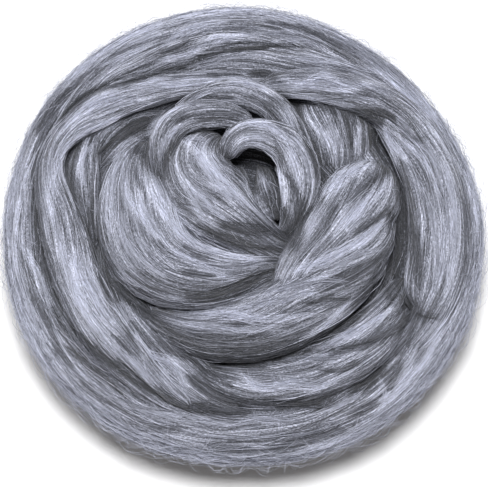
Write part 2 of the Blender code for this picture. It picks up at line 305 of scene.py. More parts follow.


# %% [markdown]
# ## The streaks
#
# The silk in the blend does not spread evenly. It gathers in pale streaks, and where the grey is pure a
# dark streak or a crease is left. Not every streak is the wool's own colour, though: dark ones that follow
# creases, overhangs and flanks turned from the light are painted shade, and pale ones on the far wall,
# round the rim and over a shadowed gap are painted light. Which streak lies where gives this nest its look,
# so each one is drawn the way an artist grooms hair with guide curves. A row holds how pale (up to 1) or
# how dark (down to -1) the streak is, half its width, and a few places along it as the camera sees them,
# in millimetres to the right of the nest's middle and above it.

# %% The table of streaks
Streak = namedtuple("Streak", "tone width points")
STREAK_ROWS = [
    # the rope's tail over the left shoulder, and the left lap below it
    (0.8, 2.8, (-79.5, 5), (-80, 17), (-78, 28), (-74.5, 36), (-68, 42.5), (-60, 48)),
    (0.9, 2.2, (-78, 42), (-71, 49), (-65, 54), (-61, 57.3), (-54.5, 59.6), (-48, 60.5)),
    (0.9, 2.0, (-50, 61), (-43, 62.5), (-36, 64.5), (-28, 63.5), (-20, 65.5), (-13, 66)),
    (0.5, 2.0, (-66, 50), (-56, 55), (-46, 57.5), (-36, 57)),
    (-0.9, 2.8, (-55, 40), (-49, 44.5), (-44, 47), (-38, 49.5)),
    # painted light: lifts the shadow in the gap along the left lap's inner edge
    (1.0, 2.4, (-70, 40), (-63, 44.5), (-57, 47.5), (-50, 50.5)),
    (-0.45, 2.0, (-66, 41), (-72, 37), (-74, 31), (-72, 23), (-68, 15), (-64, 8)),
    (0.8, 1.6, (-60, 40), (-65, 37), (-67, 32), (-67.5, 26), (-66, 20)),
    (-0.5, 1.8, (-70.5, 27), (-70, 18), (-68, 9), (-65, 0)),
    (0.9, 2.2, (-78, 4), (-76.5, -3), (-74, -10), (-71, -18), (-69, -26), (-65, -33), (-59, -40)),
    (0.9, 2.4, (-71, -2), (-69.5, -10), (-67, -17), (-63, -23), (-60, -29), (-56, -35), (-51, -40)),
    (0.5, 2.4, (-66, -22), (-66, -30), (-61, -38), (-55, -44)),
    (0.5, 2.2, (-53, -26), (-50, -31), (-47, -36)),
    (-0.4, 1.6, (-49, -38), (-46.5, -44), (-42, -49)),
    (0.6, 1.6, (-67.5, -4), (-66, -11), (-63, -17), (-59.5, -23), (-57, -29)),
    (0.6, 2.0, (-58, -40), (-50, -48), (-42, -56), (-34, -64)),
    (-0.55, 1.6, (-86, 40), (-86, 26), (-85.5, 12), (-84.5, 0), (-82.5, -12), (-79, -23), (-74.5, -34)),
    (0.4, 1.8, (-79, 12), (-77, 4), (-74, -4)),
    (-1.0, 1.9, (-74, -34), (-65, -43.5), (-55.5, -51.5), (-45.5, -58.5), (-36, -64.5), (-26, -69.5),
        (-16, -72.5)),
    (-0.3, 2.2, (-76, -50), (-65, -61), (-53, -69), (-40, -75.5)),
    # the wall on the left
    (0.9, 1.4, (-94, 4), (-91.5, -4), (-88, -10), (-84.5, -16), (-81.5, -23), (-79, -30)),
    (0.6, 1.2, (-96, 0), (-93.5, -9), (-90, -17), (-86, -24)),
    (-0.7, 2.4, (-87, 42), (-82, 51), (-75, 59), (-67, 65)),
    (-0.9, 1.7, (-77, 46), (-73, 52.5), (-67, 58), (-59, 63)),
    (0.5, 1.2, (-86, -14), (-83, -22), (-80, -30)),
    (-0.4, 2.0, (-93, 2), (-91, -10), (-88, -22), (-83, -32), (-76, -42)),
    (0.35, 2.4, (-96, 30), (-97, 16), (-96.5, 2)),
    (0.3, 2.0, (-90.5, 34), (-91.5, 20), (-91, 8)),
    (0.7, 1.5, (-78, -50), (-71, -54.5), (-65, -59.5), (-60, -64.5), (-53, -67)),
    (0.5, 1.6, (-70, -64), (-60, -70), (-50, -77), (-42, -82)),
    (-0.5, 1.4, (-76, -44), (-68, -49), (-62, -55), (-54, -60)),
    # the far wall and the crimped crest
    (0.8, 1.6, (-68, 67), (-60, 71.5), (-52, 75), (-44, 78), (-37, 81)),
    (0.5, 2.0, (-52, 79), (-43, 83), (-34, 87)),
    # painted light: the far wall's outer band, which turns from the light, made pale
    (1.0, 3.6, (-76, 64), (-69, 71), (-60, 79), (-50, 85), (-39, 89.5), (-26, 93)),
    (0.8, 1.7, (-34, 80), (-28, 83), (-22, 86.5), (-15, 88.5), (-5, 90)),
    (0.9, 2.6, (-32, 92), (-18, 95), (-4, 96), (10, 95)),
    (-0.6, 1.8, (-64, 62.5), (-56, 63), (-48, 65), (-38, 67.5)),
    (1.0, 1.4, (-40, 73), (-33, 74.5), (-27, 75), (-21, 77), (-17, 80.5), (-13, 84), (-7, 84.5), (0, 83)),
    (0.8, 1.2, (-16, 79), (-11, 81), (-5, 83.5), (3, 84.5), (12, 84.5)),
    (-0.5, 1.5, (-44, 73.5), (-36, 76.5), (-29, 78.5), (-23, 81), (-19, 84.5)),
    (0.4, 1.3, (-34, 73), (-26, 74.5), (-18, 77)),
    (-1.0, 1.8, (-50, 64), (-40, 67.5), (-30, 69.5), (-21, 72.5), (-13, 76), (-4, 78), (6, 79), (16, 80),
        (26, 79)),
    (0.5, 1.4, (-28, 71), (-18, 72.5), (-8, 75), (2, 76.5), (14, 76.5)),
    (0.8, 1.1, (10, 81.5), (16, 81.3), (22, 82), (28, 81)),
    (-0.6, 1.8, (6, 89.5), (16, 88.5), (25, 86), (35, 82.5), (45, 76.5), (52, 71.5)),
    (0.5, 1.3, (6, 84), (13, 85), (20, 85), (30, 82), (38, 78)),
    (0.2, 2.0, (36, 84), (46, 79), (56, 71), (63, 64)),
    (-0.3, 1.8, (38, 88), (48, 82.5), (57, 76), (66, 68), (74, 59)),
    (0.5, 1.4, (18, 74.5), (28, 74.5), (38, 72.5), (48, 70), (58, 67.5), (66, 63)),
    (-0.2, 1.4, (14, 72), (26, 70.5), (38, 70), (48, 67.5)),
    (0.4, 1.6, (20, 70), (30, 70.5), (40, 69.5)),
    # the upper right lap and its corner
    (-0.8, 1.6, (0, 68), (6, 68.5), (11, 68), (13, 65)),
    (1.0, 2.0, (15, 67), (19, 64.6), (25, 64.6), (31, 66.6), (36, 66), (41, 63.3), (47, 62.6), (54, 64),
        (62, 63.5)),
    (0.7, 1.4, (18, 61), (25, 62.3), (33, 62), (40, 60.8), (46, 60.5)),
    (-0.5, 1.3, (22, 61), (30, 60), (38, 58.5), (46, 59.5), (56, 58.5)),
    (-0.5, 1.3, (18, 57), (26, 56.3), (34, 54.5), (42, 52.5), (50, 50.5)),
    (-1.0, 2.4, (43, 52.5), (49, 52.5), (55, 52.5), (60, 50.5), (64, 46.5)),
    (-0.9, 2.0, (49, 49.5), (54, 49), (58, 47)),
    (0.5, 1.8, (62, 50), (66, 46), (70, 42)),
    (0.5, 2.0, (46, 63), (54, 61.5), (62, 59)),
    (0.4, 1.2, (18, 58.5), (26, 57.5), (34, 56)),
    (0.5, 1.2, (24, 58), (33, 57.3), (41, 55.5), (49, 54.3), (57, 54.5)),
    (0.9, 2.2, (60, 63.5), (67, 59.5), (73, 54), (78, 47), (82, 39)),
    (0.9, 1.4, (57, 48), (59, 43), (61, 38.5), (65, 34.5), (70, 31)),
    (0.9, 1.4, (63, 46.5), (64, 42), (67, 38.5), (72, 35.5), (76, 30), (78, 24)),
    (0.7, 1.3, (70, 38.5), (75, 38), (79, 33), (81, 26), (82, 18)),
    (-0.2, 1.5, (61, 50), (66, 46), (69, 42), (75, 40)),
    (0.75, 2.2, (82, 34), (85, 22), (86.5, 10), (86.5, -2), (85.5, -14), (83, -25)),
    (0.4, 1.5, (67, 27), (71, 24), (75, 18), (77.5, 10), (79, 2), (79.5, -6), (79, -16), (77, -24)),
    # painted shade on the front bundle's right flank and in the valley to its right
    (-0.9, 2.3, (67, 24), (69, 14), (69.5, 6), (71, -4), (72, -14), (72, -22)),
    (-0.9, 2.7, (60, 12), (62, 4), (64, -4), (64, -12), (60, -20)),
    (-0.5, 2.0, (74, -26), (67, -35), (58, -41), (48, -45)),
    (-0.5, 1.5, (64, 33), (66, 26), (67.5, 19)),
    (0.4, 1.4, (82, 12), (82.5, 0), (82, -10), (80, -20), (78, -26)),
    (-0.35, 1.2, (90, 26), (91.5, 14), (92, 0), (91, -14), (88, -26)),
    (0.4, 1.6, (93.5, 26), (95, 14), (95.5, 2), (94, -12), (90, -28)),
    (0.8, 2.0, (84, -33), (80, -40), (75, -49), (69, -57), (62, -64), (54, -70)),
    (0.6, 1.5, (72, -42), (69, -50), (64, -57), (58, -64)),
    (0.3, 1.5, (86, -36), (82, -46), (75, -56), (67, -64)),
    (-0.4, 1.5, (76, -43), (73, -49), (69, -53)),
    # the near wall and the near laps
    (1.0, 1.9, (-4, -52.5), (0, -58), (5, -61.5), (11, -62.7), (17, -60.5), (24, -61), (30, -62.3),
        (37, -59), (45, -55)),
    (0.4, 1.3, (12, -60), (20, -59.5), (28, -61), (35, -58), (43, -54)),
    (-0.35, 1.6, (28, -54), (38, -55), (48, -51)),
    (-1.0, 1.8, (-2, -66), (8, -67.5), (18, -68.5), (28, -68.3), (34, -66), (42, -61.5)),
    (-0.5, 4.0, (-24, -56), (-17, -61), (-9, -66), (2, -68)),
    (-0.6, 3.0, (-22, -68), (-14, -71), (-5, -72), (4, -72)),
    (-0.5, 2.2, (-18, -53), (-10, -57), (-4, -62)),
    (0.9, 1.8, (65, -27), (59, -31), (52, -35), (46, -38.5), (40, -40.5), (33, -43)),
    (0.4, 1.6, (48, -46), (40, -49), (31, -50), (22, -49.5), (14, -51)),
    (-0.5, 1.6, (66, -34), (58, -40), (50, -44), (40, -46), (28, -46)),
    (-0.35, 1.6, (72, -33), (68, -42), (60, -50), (52, -57)),
    (-0.8, 2.8, (42, -64), (49, -61), (55, -56.5), (60, -51)),
    (-0.4, 2.0, (42, -73), (50, -71), (57, -67)),
    # painted shade in the valley between the front bundle and the right fold
    (-1.0, 2.6, (64, 26), (65.5, 16), (66, 4), (64.5, -5), (59, -13), (52.5, -21), (44, -30)),
    (-1.0, 2.6, (61, -12), (63, -18), (67, -25), (71, -31), (76, -33), (81, -32)),
    (-0.7, 2.6, (61, -2), (58, -10), (55, -17), (60, -23), (63, -29)),
    (-0.35, 2.2, (64, -30), (66, -34), (62, -40)),
    (0.9, 1.4, (-46, -36), (-44, -42), (-41, -47.5), (-36, -49.5), (-30, -50.5), (-26.5, -54),
        (-25.5, -60)),
    (0.8, 1.0, (-33, -50), (-29, -54), (-25, -58), (-24, -65)),
    (0.6, 1.0, (-38, -52), (-33, -57), (-29, -62)),
    (-0.6, 1.8, (-54, -16), (-49, -23), (-43, -29), (-35, -35), (-27, -41), (-18, -45)),
    (-0.5, 1.6, (-38, -33), (-36, -42), (-30, -47), (-20, -51), (-16, -58)),
    (0.4, 1.8, (-24, -76), (-14, -75), (-4, -77), (6, -75), (16, -76), (26, -75)),
    (0.4, 1.6, (-40, -85), (-26, -88), (-10, -90.5), (8, -90.5), (26, -88.5), (42, -83)),
    (-0.35, 2.0, (-52, -87), (-36, -92), (-18, -95), (4, -96), (24, -94), (44, -88), (60, -79)),
    (-0.3, 1.6, (-22, -86), (-6, -88), (12, -88), (28, -85)),
    (0.5, 1.3, (34, -72), (42, -68), (50, -63)),
    (0.5, 1.0, (54.5, -56), (57, -60.5), (58, -65.5), (56.5, -71)),
    (-0.7, 2.4, (59.5, -64), (62, -58), (65, -50)),
    (0.5, 1.0, (52, -68), (55, -64.5), (57, -61)),
    # the front bundle
    (1.0, 3.0, (56, 30.5), (49, 30), (42, 26.5), (36.5, 21.5), (33, 16)),
    (0.5, 1.4, (31, 13), (28, 6), (26, 0)),
    (1.0, 2.4, (62, 25.5), (57, 20.5), (51.5, 15.5), (46, 11), (41, 6), (36, -1)),
    (1.0, 2.3, (60, 9), (54, 4), (47, -1), (40, -6), (32, -10), (22, -13), (12, -17)),
    (0.5, 1.5, (58, -4), (50, -6), (42, -10), (32, -14)),
    (0.5, 1.6, (45, -18), (35, -17), (27, -18), (17, -21), (6, -23), (-6, -26)),
    # painted shade on the front bundle's lower right flank
    (-0.5, 3.2, (60, -3), (53, -10), (46, -14), (38, -18), (30, -21)),
    (0.5, 1.4, (34, -23), (26, -23), (17, -25), (6, -27.5), (-4, -29)),
    (-0.35, 1.4, (32, -30), (22, -30.5), (12, -31)),
    (1.0, 2.0, (36, -30), (27, -31), (19, -32.5), (12, -34.7), (4, -34), (-4, -32), (-14, -31.5),
        (-26, -32)),
    (0.7, 1.4, (20, -38), (10, -37.5), (0, -38.5), (-10, -37), (-20, -36), (-29, -34)),
    (0.8, 1.1, (47, -22), (42, -28), (36, -34), (30, -38), (26, -41)),
    (0.5, 0.9, (40, -28), (34, -35), (29, -39)),
    (-0.4, 1.3, (60, 28), (53.5, 24.5), (47, 19.5), (41, 13)),
    (-0.3, 1.8, (39, 15), (36, 9), (34, 3)),
    (0.5, 1.6, (50, 12.5), (46, 7.5), (42, 3)),
    (-0.5, 1.4, (62, 13), (56, 9), (50, 5), (44, 0)),
    (-0.5, 1.2, (24, -36.5), (10, -36), (-4, -35.5), (-18, -36)),
    (-0.5, 1.5, (48, -24), (40, -26), (30, -26), (22, -27.5)),
    # painted shade in the crease under the front bundle
    (-1.0, 3.6, (48, -31), (36, -40), (22, -45.5), (6, -48), (-10, -48), (-24, -43.5), (-34, -37)),
    (1.0, 1.9, (50, -36), (43, -40), (35, -43.5), (25, -46)),
    (-0.3, 2.6, (-30, -37), (-14, -41.5), (4, -43), (20, -41), (36, -34)),
    (-0.9, 2.0, (-10, -48.5), (4, -48.5), (12, -47.5), (19, -45)),
    (0.5, 2.0, (80, -33), (77, -38), (73, -44)),
    # the left bundle
    (0.6, 1.8, (-44, 42), (-50, 38), (-54, 30), (-56, 20), (-54, 9), (-50, 0)),
    (1.0, 1.7, (-50.5, 28), (-49.8, 22), (-48, 17), (-45.5, 12.5), (-41.5, 7.5), (-38, 3), (-35.8, -1.5)),
    (0.9, 1.6, (-45, 24), (-43, 16), (-41, 10), (-37, 3), (-32, -2)),
    (1.0, 2.0, (-42, 30), (-40, 22), (-36, 14), (-31, 8), (-26, 1), (-19, -4), (-10, -7)),
    (1.0, 1.8, (-33, 20), (-29, 12), (-24, 4), (-18, -2), (-10, -6), (0, -8), (9, -10)),
    (0.7, 1.6, (-54, 6), (-49, -2), (-43, -9), (-36, -14), (-28, -18)),
    (0.7, 1.6, (-32, -3), (-24, -8), (-15, -13), (-8, -16), (-1, -17)),
    (0.2, 1.4, (-58, 0), (-52, -11), (-44, -18), (-34, -24), (-24, -26)),
    (-0.6, 2.2, (-52, -12), (-45, -18), (-37, -22), (-29, -24)),
    (0.3, 1.6, (-46, 2), (-41, -4), (-35, -9)),
    (-0.35, 1.2, (-45.5, 31), (-44.5, 25), (-42, 19)),
    (-0.5, 2.2, (-46, 40), (-44, 36), (-38, 33)),
    (0.35, 2.0, (-57, 28), (-58.5, 20), (-58, 10), (-55, 0)),
    (0.6, 1.7, (-38.5, 27), (-35.5, 20), (-31, 12.5)),
    (0.4, 3.0, (-52, 14), (-51, 2), (-47, -8), (-42, -14)),
    (-0.4, 1.6, (-27, -3), (-20, -7), (-12, -9.5)),
    # painted shade where the front bundle lies over the left bundle
    (-0.9, 2.8, (-26, -24), (-16, -24), (-6, -21), (3, -17), (9, -13)),
    (-0.6, 1.5, (-63, 20), (-64, 10), (-63.5, 0), (-61, -9), (-56, -17), (-50, -24), (-43, -29),
        (-34, -32.5)),
    # the heart lap
    (1.0, 2.6, (-26, 42), (-21, 37), (-16, 30), (-12, 24), (-8, 19), (-2, 14)),
    (0.9, 1.8, (-20, 42), (-15, 35), (-11, 28), (-7, 22), (-1, 16), (5, 11)),
    (0.8, 1.4, (-24, 24), (-19, 19), (-14, 13), (-10, 9), (-3, 6)),
    (0.5, 1.4, (-29, 34), (-26, 26), (-22, 18), (-17, 11), (-11, 5)),
    (0.9, 1.5, (-29, 9), (-24, 3.5), (-18, -1)),
    # painted shade along the heart lap's lower edge
    (-0.9, 2.0, (-20, 7), (-13, 2), (-4, -1.5), (6, -3.5), (16, -4.5)),
    (0.5, 1.5, (-26, 30), (-22, 23), (-17, 19), (-12, 15)),
    (0.6, 1.8, (-26, 40), (-21, 42), (-15, 40.5)),
    (-0.9, 3.4, (-12, 7), (-5, 4.5), (3, 3.5), (11, 3), (18, 1)),
    (-0.7, 2.4, (24, 18), (23, 10), (21.5, 3), (20.5, -5)),
    (-1.0, 3.2, (22, 6), (20.5, 0), (19.5, -6)),
    (-0.8, 1.8, (7, 19), (10.5, 14), (13, 9)),
    (-1.0, 2.0, (-10, 37), (-5, 32), (0, 27), (5, 22), (9, 17), (11.5, 12)),
    (0.6, 2.0, (-23, 20), (-20, 13), (-16, 7), (-10, 3)),
    (0.5, 1.8, (-37, 24), (-34, 18), (-31, 12)),
    (-0.7, 1.8, (-26, 44), (-30, 38), (-33, 31), (-32, 24)),
    (-0.4, 1.0, (-20, 22), (-15, 16), (-11, 11)),
    # the arches
    (1.0, 1.8, (-39, 40), (-38, 46), (-34, 51), (-29, 54), (-24, 55)),
    (-0.35, 1.8, (-22, 49), (-14, 51), (-7, 51), (0, 51.5)),
    (-0.3, 1.2, (-18, 57), (-10, 58.5), (-3, 58.5)),
    (0.4, 1.4, (-26, 51), (-19, 53.5), (-12, 54.5)),
    (0.6, 1.6, (-35, 38), (-32, 43), (-28, 46), (-24, 47.5)),
    (-0.5, 1.8, (-39, 38), (-38, 32), (-36, 27)),
    (-0.5, 1.2, (-36, 38), (-32, 45), (-26, 50), (-18, 52)),
    (1.0, 1.8, (-20, 62.5), (-12, 65), (-4, 65.5), (3, 64.3), (9, 62), (13, 59.5)),
    (-0.7, 2.2, (8, 57), (11, 54), (13, 50), (16, 45)),
    (0.5, 1.4, (16, 55), (19, 49), (22, 42), (25, 34)),
    (-0.3, 1.5, (-2, 58), (4, 57.5), (9, 55)),
    (-0.3, 1.2, (-4, 54), (3, 53), (8, 51)),
    (1.0, 1.9, (-8, 42), (-4, 46), (2, 48), (9, 47.3), (14, 44.5), (18, 39), (21, 32), (24, 25)),
    (0.7, 1.5, (-5, 39), (1, 42), (8, 42), (12, 39.5)),
    (-0.5, 1.6, (12, 40), (14.5, 35), (16, 29)),
    (0.6, 1.6, (18, 40), (20, 33), (22, 26), (24, 18)),
    (0.5, 1.4, (20, 44), (24, 37), (27, 29), (28, 20), (27, 11)),
    (1.0, 1.1, (12.5, 28), (14.5, 27), (15.8, 21), (16.5, 15), (16, 9)),
    (0.8, 1.4, (4.5, 28), (7, 26), (8.5, 21), (10.5, 15)),
    (-0.9, 1.4, (13, 26), (14, 20), (14, 14), (13, 10)),
    (-0.6, 1.5, (20, 22), (22, 14), (22, 6), (19, 2)),
    (-0.8, 1.3, (21, 51), (24, 44), (28, 36), (30.5, 28), (31, 22)),
    # the crossing lap
    (0.8, 1.7, (24.5, 54), (26.5, 49), (30.5, 45), (33.5, 41), (34, 36)),
    (0.3, 1.2, (33, 52.5), (35.5, 47), (38.5, 42), (38, 36)),
    (-0.6, 1.6, (34, 56), (37, 51), (38, 46)),
    (-0.6, 1.5, (15, 58.5), (19, 56), (23, 54)),
    (0.6, 1.1, (38, 51), (40, 46), (40.5, 41), (41, 35)),
    (-0.8, 1.6, (41, 53), (43.5, 47), (44, 41), (43.5, 36)),
    (0.8, 1.2, (48, 48), (46.8, 43), (46.5, 38), (49, 34)),
    (-0.4, 1.0, (30, 53), (31, 49), (34, 44)),
    (0.4, 1.6, (34, 45), (36.5, 39), (37, 34)),
    (-0.5, 1.0, (40, 50), (40.5, 44), (39, 38)),
    (-0.9, 2.4, (53, 47), (54, 41), (56.5, 36), (60, 30)),
    # the shade beside the eye, and the wool round it
    (-0.9, 2.2, (8, 22), (12.5, 16), (16, 9), (18.5, 2), (20.5, -6)),
    (-0.9, 2.0, (-4, 28), (0, 26), (4, 23)),
    (0.5, 1.8, (-49, 38), (-50, 28), (-49, 18), (-46, 8)),
    (0.6, 1.8, (-34, 34), (-32, 42), (-27, 49)),
    (0.6, 1.8, (-53, -12), (-48, -17), (-42, -20)),
    (-0.3, 2.0, (-28, -13), (-20, -15), (-10, -16)),
    (1.0, 1.8, (-27, 6.5), (-22, 2.5), (-17, -1)),
    (-0.6, 1.8, (-62, -14), (-58, -22), (-54, -28)),
    (-0.8, 1.8, (-63, 33), (-57, 38.5), (-51, 42.5), (-44, 47), (-37, 50)),
    (0.6, 1.5, (-20, 20), (-15, 16), (-10, 11)),
    (0.8, 2.0, (30, 17), (36, 23), (42, 28)),
    (0.6, 1.5, (42, 2), (46, 6), (51, 10)),
    (0.7, 1.4, (58, 50), (61, 46), (63, 42)),
    (-0.6, 1.7, (16, 28), (20, 23), (23, 17)),
    # the pale rim: painted light on the steep outside of the wall, and a few more streaks
    (0.4, 2.6, (-93, 36), (-96, 18), (-96, 0), (-93, -16), (-88, -32), (-82, -46)),
    (0.9, 2.8, (-66, 74), (-56, 82), (-44, 88)),
    (0.6, 2.4, (-94, -22), (-90, -38), (-84, -52), (-75, -64)),
    (-0.5, 2.0, (93, 18), (95, 4), (95, -8), (92, -20)),
    (-0.4, 2.0, (-72, 62), (-62, 70), (-51, 77), (-40, 81)),
    (-0.35, 1.8, (-88, 20), (-86, 32), (-82, 44), (-76, 53)),
    (0.4, 2.4, (36, 83), (50, 76), (62, 67), (74, 56), (82, 42), (88, 28)),
    (0.5, 1.6, (14, 61), (25, 58), (40, 58.5), (56, 57)),
    (0.35, 2.2, (-64, -60), (-50, -68), (-34, -73), (-20, -76), (-4, -77.5)),
    (-0.4, 1.8, (-80, -40), (-76, -48), (-70, -55)),
    (0.5, 1.4, (-60, -42), (-56, -46.5), (-52, -51)),
    (-0.5, 1.4, (-54, -40), (-50, -45.5), (-46, -50)),
    (-0.5, 2.0, (4, -84), (16, -84), (30, -81.5), (43, -77), (53, -71)),
    (-0.5, 1.8, (-58, -71.5), (-46, -76.5), (-32, -78.5), (-22, -79)),
    (-0.5, 1.6, (22, -69), (31, -69.5), (40, -66)),
    (0.5, 1.6, (22, -46), (32, -44), (42, -41)),
]
STREAKS = [Streak(tone, width, points) for tone, width, *points in STREAK_ROWS]


def on_curve(streak, t):
    """[x, y] at the shares t along a streak's curve."""
    return np.array([along(axis, t) for axis in zip(*streak.points)])


print(len(STREAKS), "streaks")


# %% [markdown]
# ## From the drawing to the nest
#
# The table of streaks is flat, as a drawing is, and the nest is not. Two functions join them. One tells
# where in the drawing a point of the nest is seen. The other gives the line of sight to a place of the
# drawing, and a later step follows that line until it meets the wool.

# %% The view of a place, and the line of sight to it
CAMERA_AT = np.array(camera.location) / MM
CAMERA_AWAY = VIEW_DISTANCE / MM
TO_CAMERA = unit(CAMERA_AT - np.array(LOOK_AT) / MM)
RIGHT = np.array([1.0, 0.0, 0.0])
ABOVE = np.cross(TO_CAMERA, RIGHT)
NEST_MIDDLE = np.array([0.0, NEST[1], 28.0])


def view_offsets(points):
    """How far right of and above the camera's axis points look, in millimetres at the nest."""
    away = points - CAMERA_AT
    scale = CAMERA_AWAY / -(away @ TO_CAMERA)
    return (away @ RIGHT) * scale, (away @ ABOVE) * scale


MIDDLE_X, MIDDLE_Y = view_offsets(NEST_MIDDLE)


def seen(points):
    """Where in the drawing points are seen."""
    x, y = view_offsets(points)
    return x - MIDDLE_X, y - MIDDLE_Y


def sight_line(x, y):
    """Direction from the camera to a place of the drawing."""
    across = (x + MIDDLE_X)[..., None] * RIGHT + (y + MIDDLE_Y)[..., None] * ABOVE
    return unit(across - TO_CAMERA * CAMERA_AWAY)


print("the middle looks", np.round([MIDDLE_X, MIDDLE_Y], 2), "mm off the camera's axis")


# %% [markdown]
# ## A field of streaks
#
# Tens of thousands of points will ask how pale or dark the wool is where they lie. To measure each of
# them against every curve would be slow. So the curves are drawn once into a grid, soft at their sides
# and narrow at their ends like a real lock, and a point only looks up its cell. On a surface that faces
# away from the camera the photo shows nothing, so the field fades out there.

# %% How streaky each place is
CELL = 0.8
FIELD_REACH = 104.0
FIELD_SIZE = int(2 * FIELD_REACH / CELL)
CURVE_STEPS = 48
FADED_OUT = 2.2  # half widths from a streak's curve
STREAK_END = 0.35  # how wide a streak is at its ends, as a share of its width


def spindle(t, end):
    """A share of the full width that is 1 at the middle of a streak and falls to end at both ends."""
    return end + (1 - end) * np.sin(math.pi * t) ** 0.6


def cells_near(places, reach):
    """The numbers of the field's cells, along one axis, that lie within reach of places."""
    first, last = (int((end + FIELD_REACH) / CELL) for end in (places.min() - reach, places.max() + reach))
    return np.arange(max(first, 0), min(last + 1, FIELD_SIZE))


def streak_field():
    """A grid over the view that holds, in each cell, the tone of the streaks near it."""
    field = np.zeros((FIELD_SIZE, FIELD_SIZE))
    t = np.linspace(0.0, 1.0, CURVE_STEPS)
    for streak in STREAKS:
        x, y = on_curve(streak, t)
        ix, iy = (cells_near(axis, FADED_OUT * streak.width) for axis in (x, y))
        gx, gy = np.meshgrid(ix * CELL - FIELD_REACH, iy * CELL - FIELD_REACH, indexing="ij")
        gap = np.hypot(gx[..., None] - x, gy[..., None] - y)
        nearest = t[gap.argmin(-1)]
        sides = np.exp(-((gap.min(-1) / (streak.width * spindle(nearest, STREAK_END))) ** 2))
        ends = np.clip(4 * np.minimum(nearest, 1 - nearest) + 0.3, 0, 1)
        field[np.ix_(ix, iy)] += streak.tone * sides * ends
    return np.clip(field, -1.0, 1.0)


def look_up(grid, reach, cell, x, y):
    """The value at x, y of a square grid laid round the middle, mixed from the four nearest cells."""
    px, py = (np.clip((axis + reach) / cell, 0, len(grid) - 1.001) for axis in (x, y))
    ix, iy = px.astype(int), py.astype(int)
    return between(grid, ix, iy, px - ix, py - iy)


FIELD = streak_field()


def streakiness(points, out):
    """The field at points, fading where the surface turns away from the camera."""
    return look_up(FIELD, FIELD_REACH, CELL, *seen(points)) * np.clip(1.6 * (out @ TO_CAMERA), 0.0, 1.0)


print("share of the view in pale streaks:", round(float((FIELD > 0.3).mean()), 3))


# %% [markdown]
# ## The surface of a lap
#
# Section, locks and streaks now come together in one function, and everything that is laid on a lap calls
# it. Silk gathers in raised locks, and a dark streak is often a crease, so a pale streak stands up a
# little and a dark one sinks. All of that dies down towards a lap's nose, where the rope is pressed flat.

# %% Points on a lap
RISE = 0.7  # how far a pale streak stands up, and a dark one sinks, in millimetres


def nominal_radius(lap):
    """What turns an angle round a lap's section into millimetres over its surface."""
    return nominal_width(lap) / 2 * ROUND_SHARE


def lap_surface(lap, t, phi, lift=0.0):
    """(point, direction out) at the shares t and section angles phi, lifted off the locks by lift."""
    middle, side, up = section_frame(lap, t)
    half = half_width(lap, t)
    c, s = np.cos(phi)[..., None], np.sin(phi)[..., None]
    out = unit(side * c * FLATNESS + up * s)
    point = middle + half[..., None] * (side * c + up * s * FLATNESS)
    locks = relief(lap, t * lap_length(lap), phi * nominal_radius(lap))
    swell = np.clip(2 * half / nominal_width(lap), 0.0, 1.0)
    height = (locks + RISE * streakiness(point, out)) * swell + lift
    return point + out * height[..., None], out


trial, _ = lap_surface(LAPS[2], np.linspace(0.0, 1.0, 5), np.full(5, math.pi / 2))
print("crest of the wall turn in mm:", np.round(trial[:, 2], 1))


# %% [markdown]
# ## Hollows
#
# Light does not reach far in between two laps, and the loose wool there swallows more of it. That shade
# is painted into the tone: the nest's heights are drawn on a map seen from above, the map is blurred, and
# a place counts as hollow by how far it lies below the blurred height around it.

# %% How hollow each place is
MAP_CELL = 1.0
MAP_REACH = 112.0
MAP_BLUR = 5.0  # millimetres
MAP_STEP = 0.6  # millimetres between the places of a lap that are drawn on the map
FULLY_HOLLOW = 5.0  # millimetres below the blurred height
WALL_FROM, WALL_OVER = 90.0, 7.0  # millimetres from the middle, and over how many hollows fade out


def height_map():
    """Blurred heights of the nest, in millimetres, on a grid seen from straight above."""
    size = int(2 * MAP_REACH / MAP_CELL)
    heights = np.zeros((size, size))
    for lap in ALL_LAPS:
        shares = np.linspace(0.0, 1.0, int(lap_length(lap) / MAP_STEP))
        angles = np.linspace(0.0, math.pi, int(nominal_width(lap) * 2.4))
        t, phi = (a.ravel() for a in np.meshgrid(shares, angles, indexing="ij"))
        points, _ = lap_surface(lap, t, phi)
        ix, iy = ((points[:, :2].T + MAP_REACH) / MAP_CELL).astype(int)
        np.maximum.at(heights, (ix, iy), points[:, 2])
    reach = int(3 * MAP_BLUR / MAP_CELL)
    bell = np.exp(-((np.arange(-reach, reach + 1) * MAP_CELL / MAP_BLUR) ** 2) / 2)
    for axis in (0, 1):
        heights = np.apply_along_axis(np.convolve, axis, heights, bell / bell.sum(), "same")
    return heights


HEIGHTS = height_map()


def hollowness(points):
    """Painted shade at points: 0 on a crest to 1 deep between two laps; none on the outside of the wall."""
    x, y, z = np.moveaxis(points, -1, 0)
    below = look_up(HEIGHTS, MAP_REACH, MAP_CELL, x, y) - z
    inside = 1.0 - np.clip((np.hypot(x, y) - WALL_FROM) / WALL_OVER, 0.0, 1.0)
    return np.clip(below / FULLY_HOLLOW, 0.0, 1.0) * inside


print("highest blurred height:", round(float(HEIGHTS.max()), 1), "mm")


# %% [markdown]
# ## The melange
#
# Every finish shares one effect, the melange: wool of several greys, mixed before it was combed. Its node
# group takes a tone for the strand and the flow's own coordinates, and gives back a colour that changes
# across the fibres quickly and along them slowly. Three layers of noise are added to the tone, and a ramp
# turns the sum into a grey. Its ends are a little blue, as the wool in the photo is.

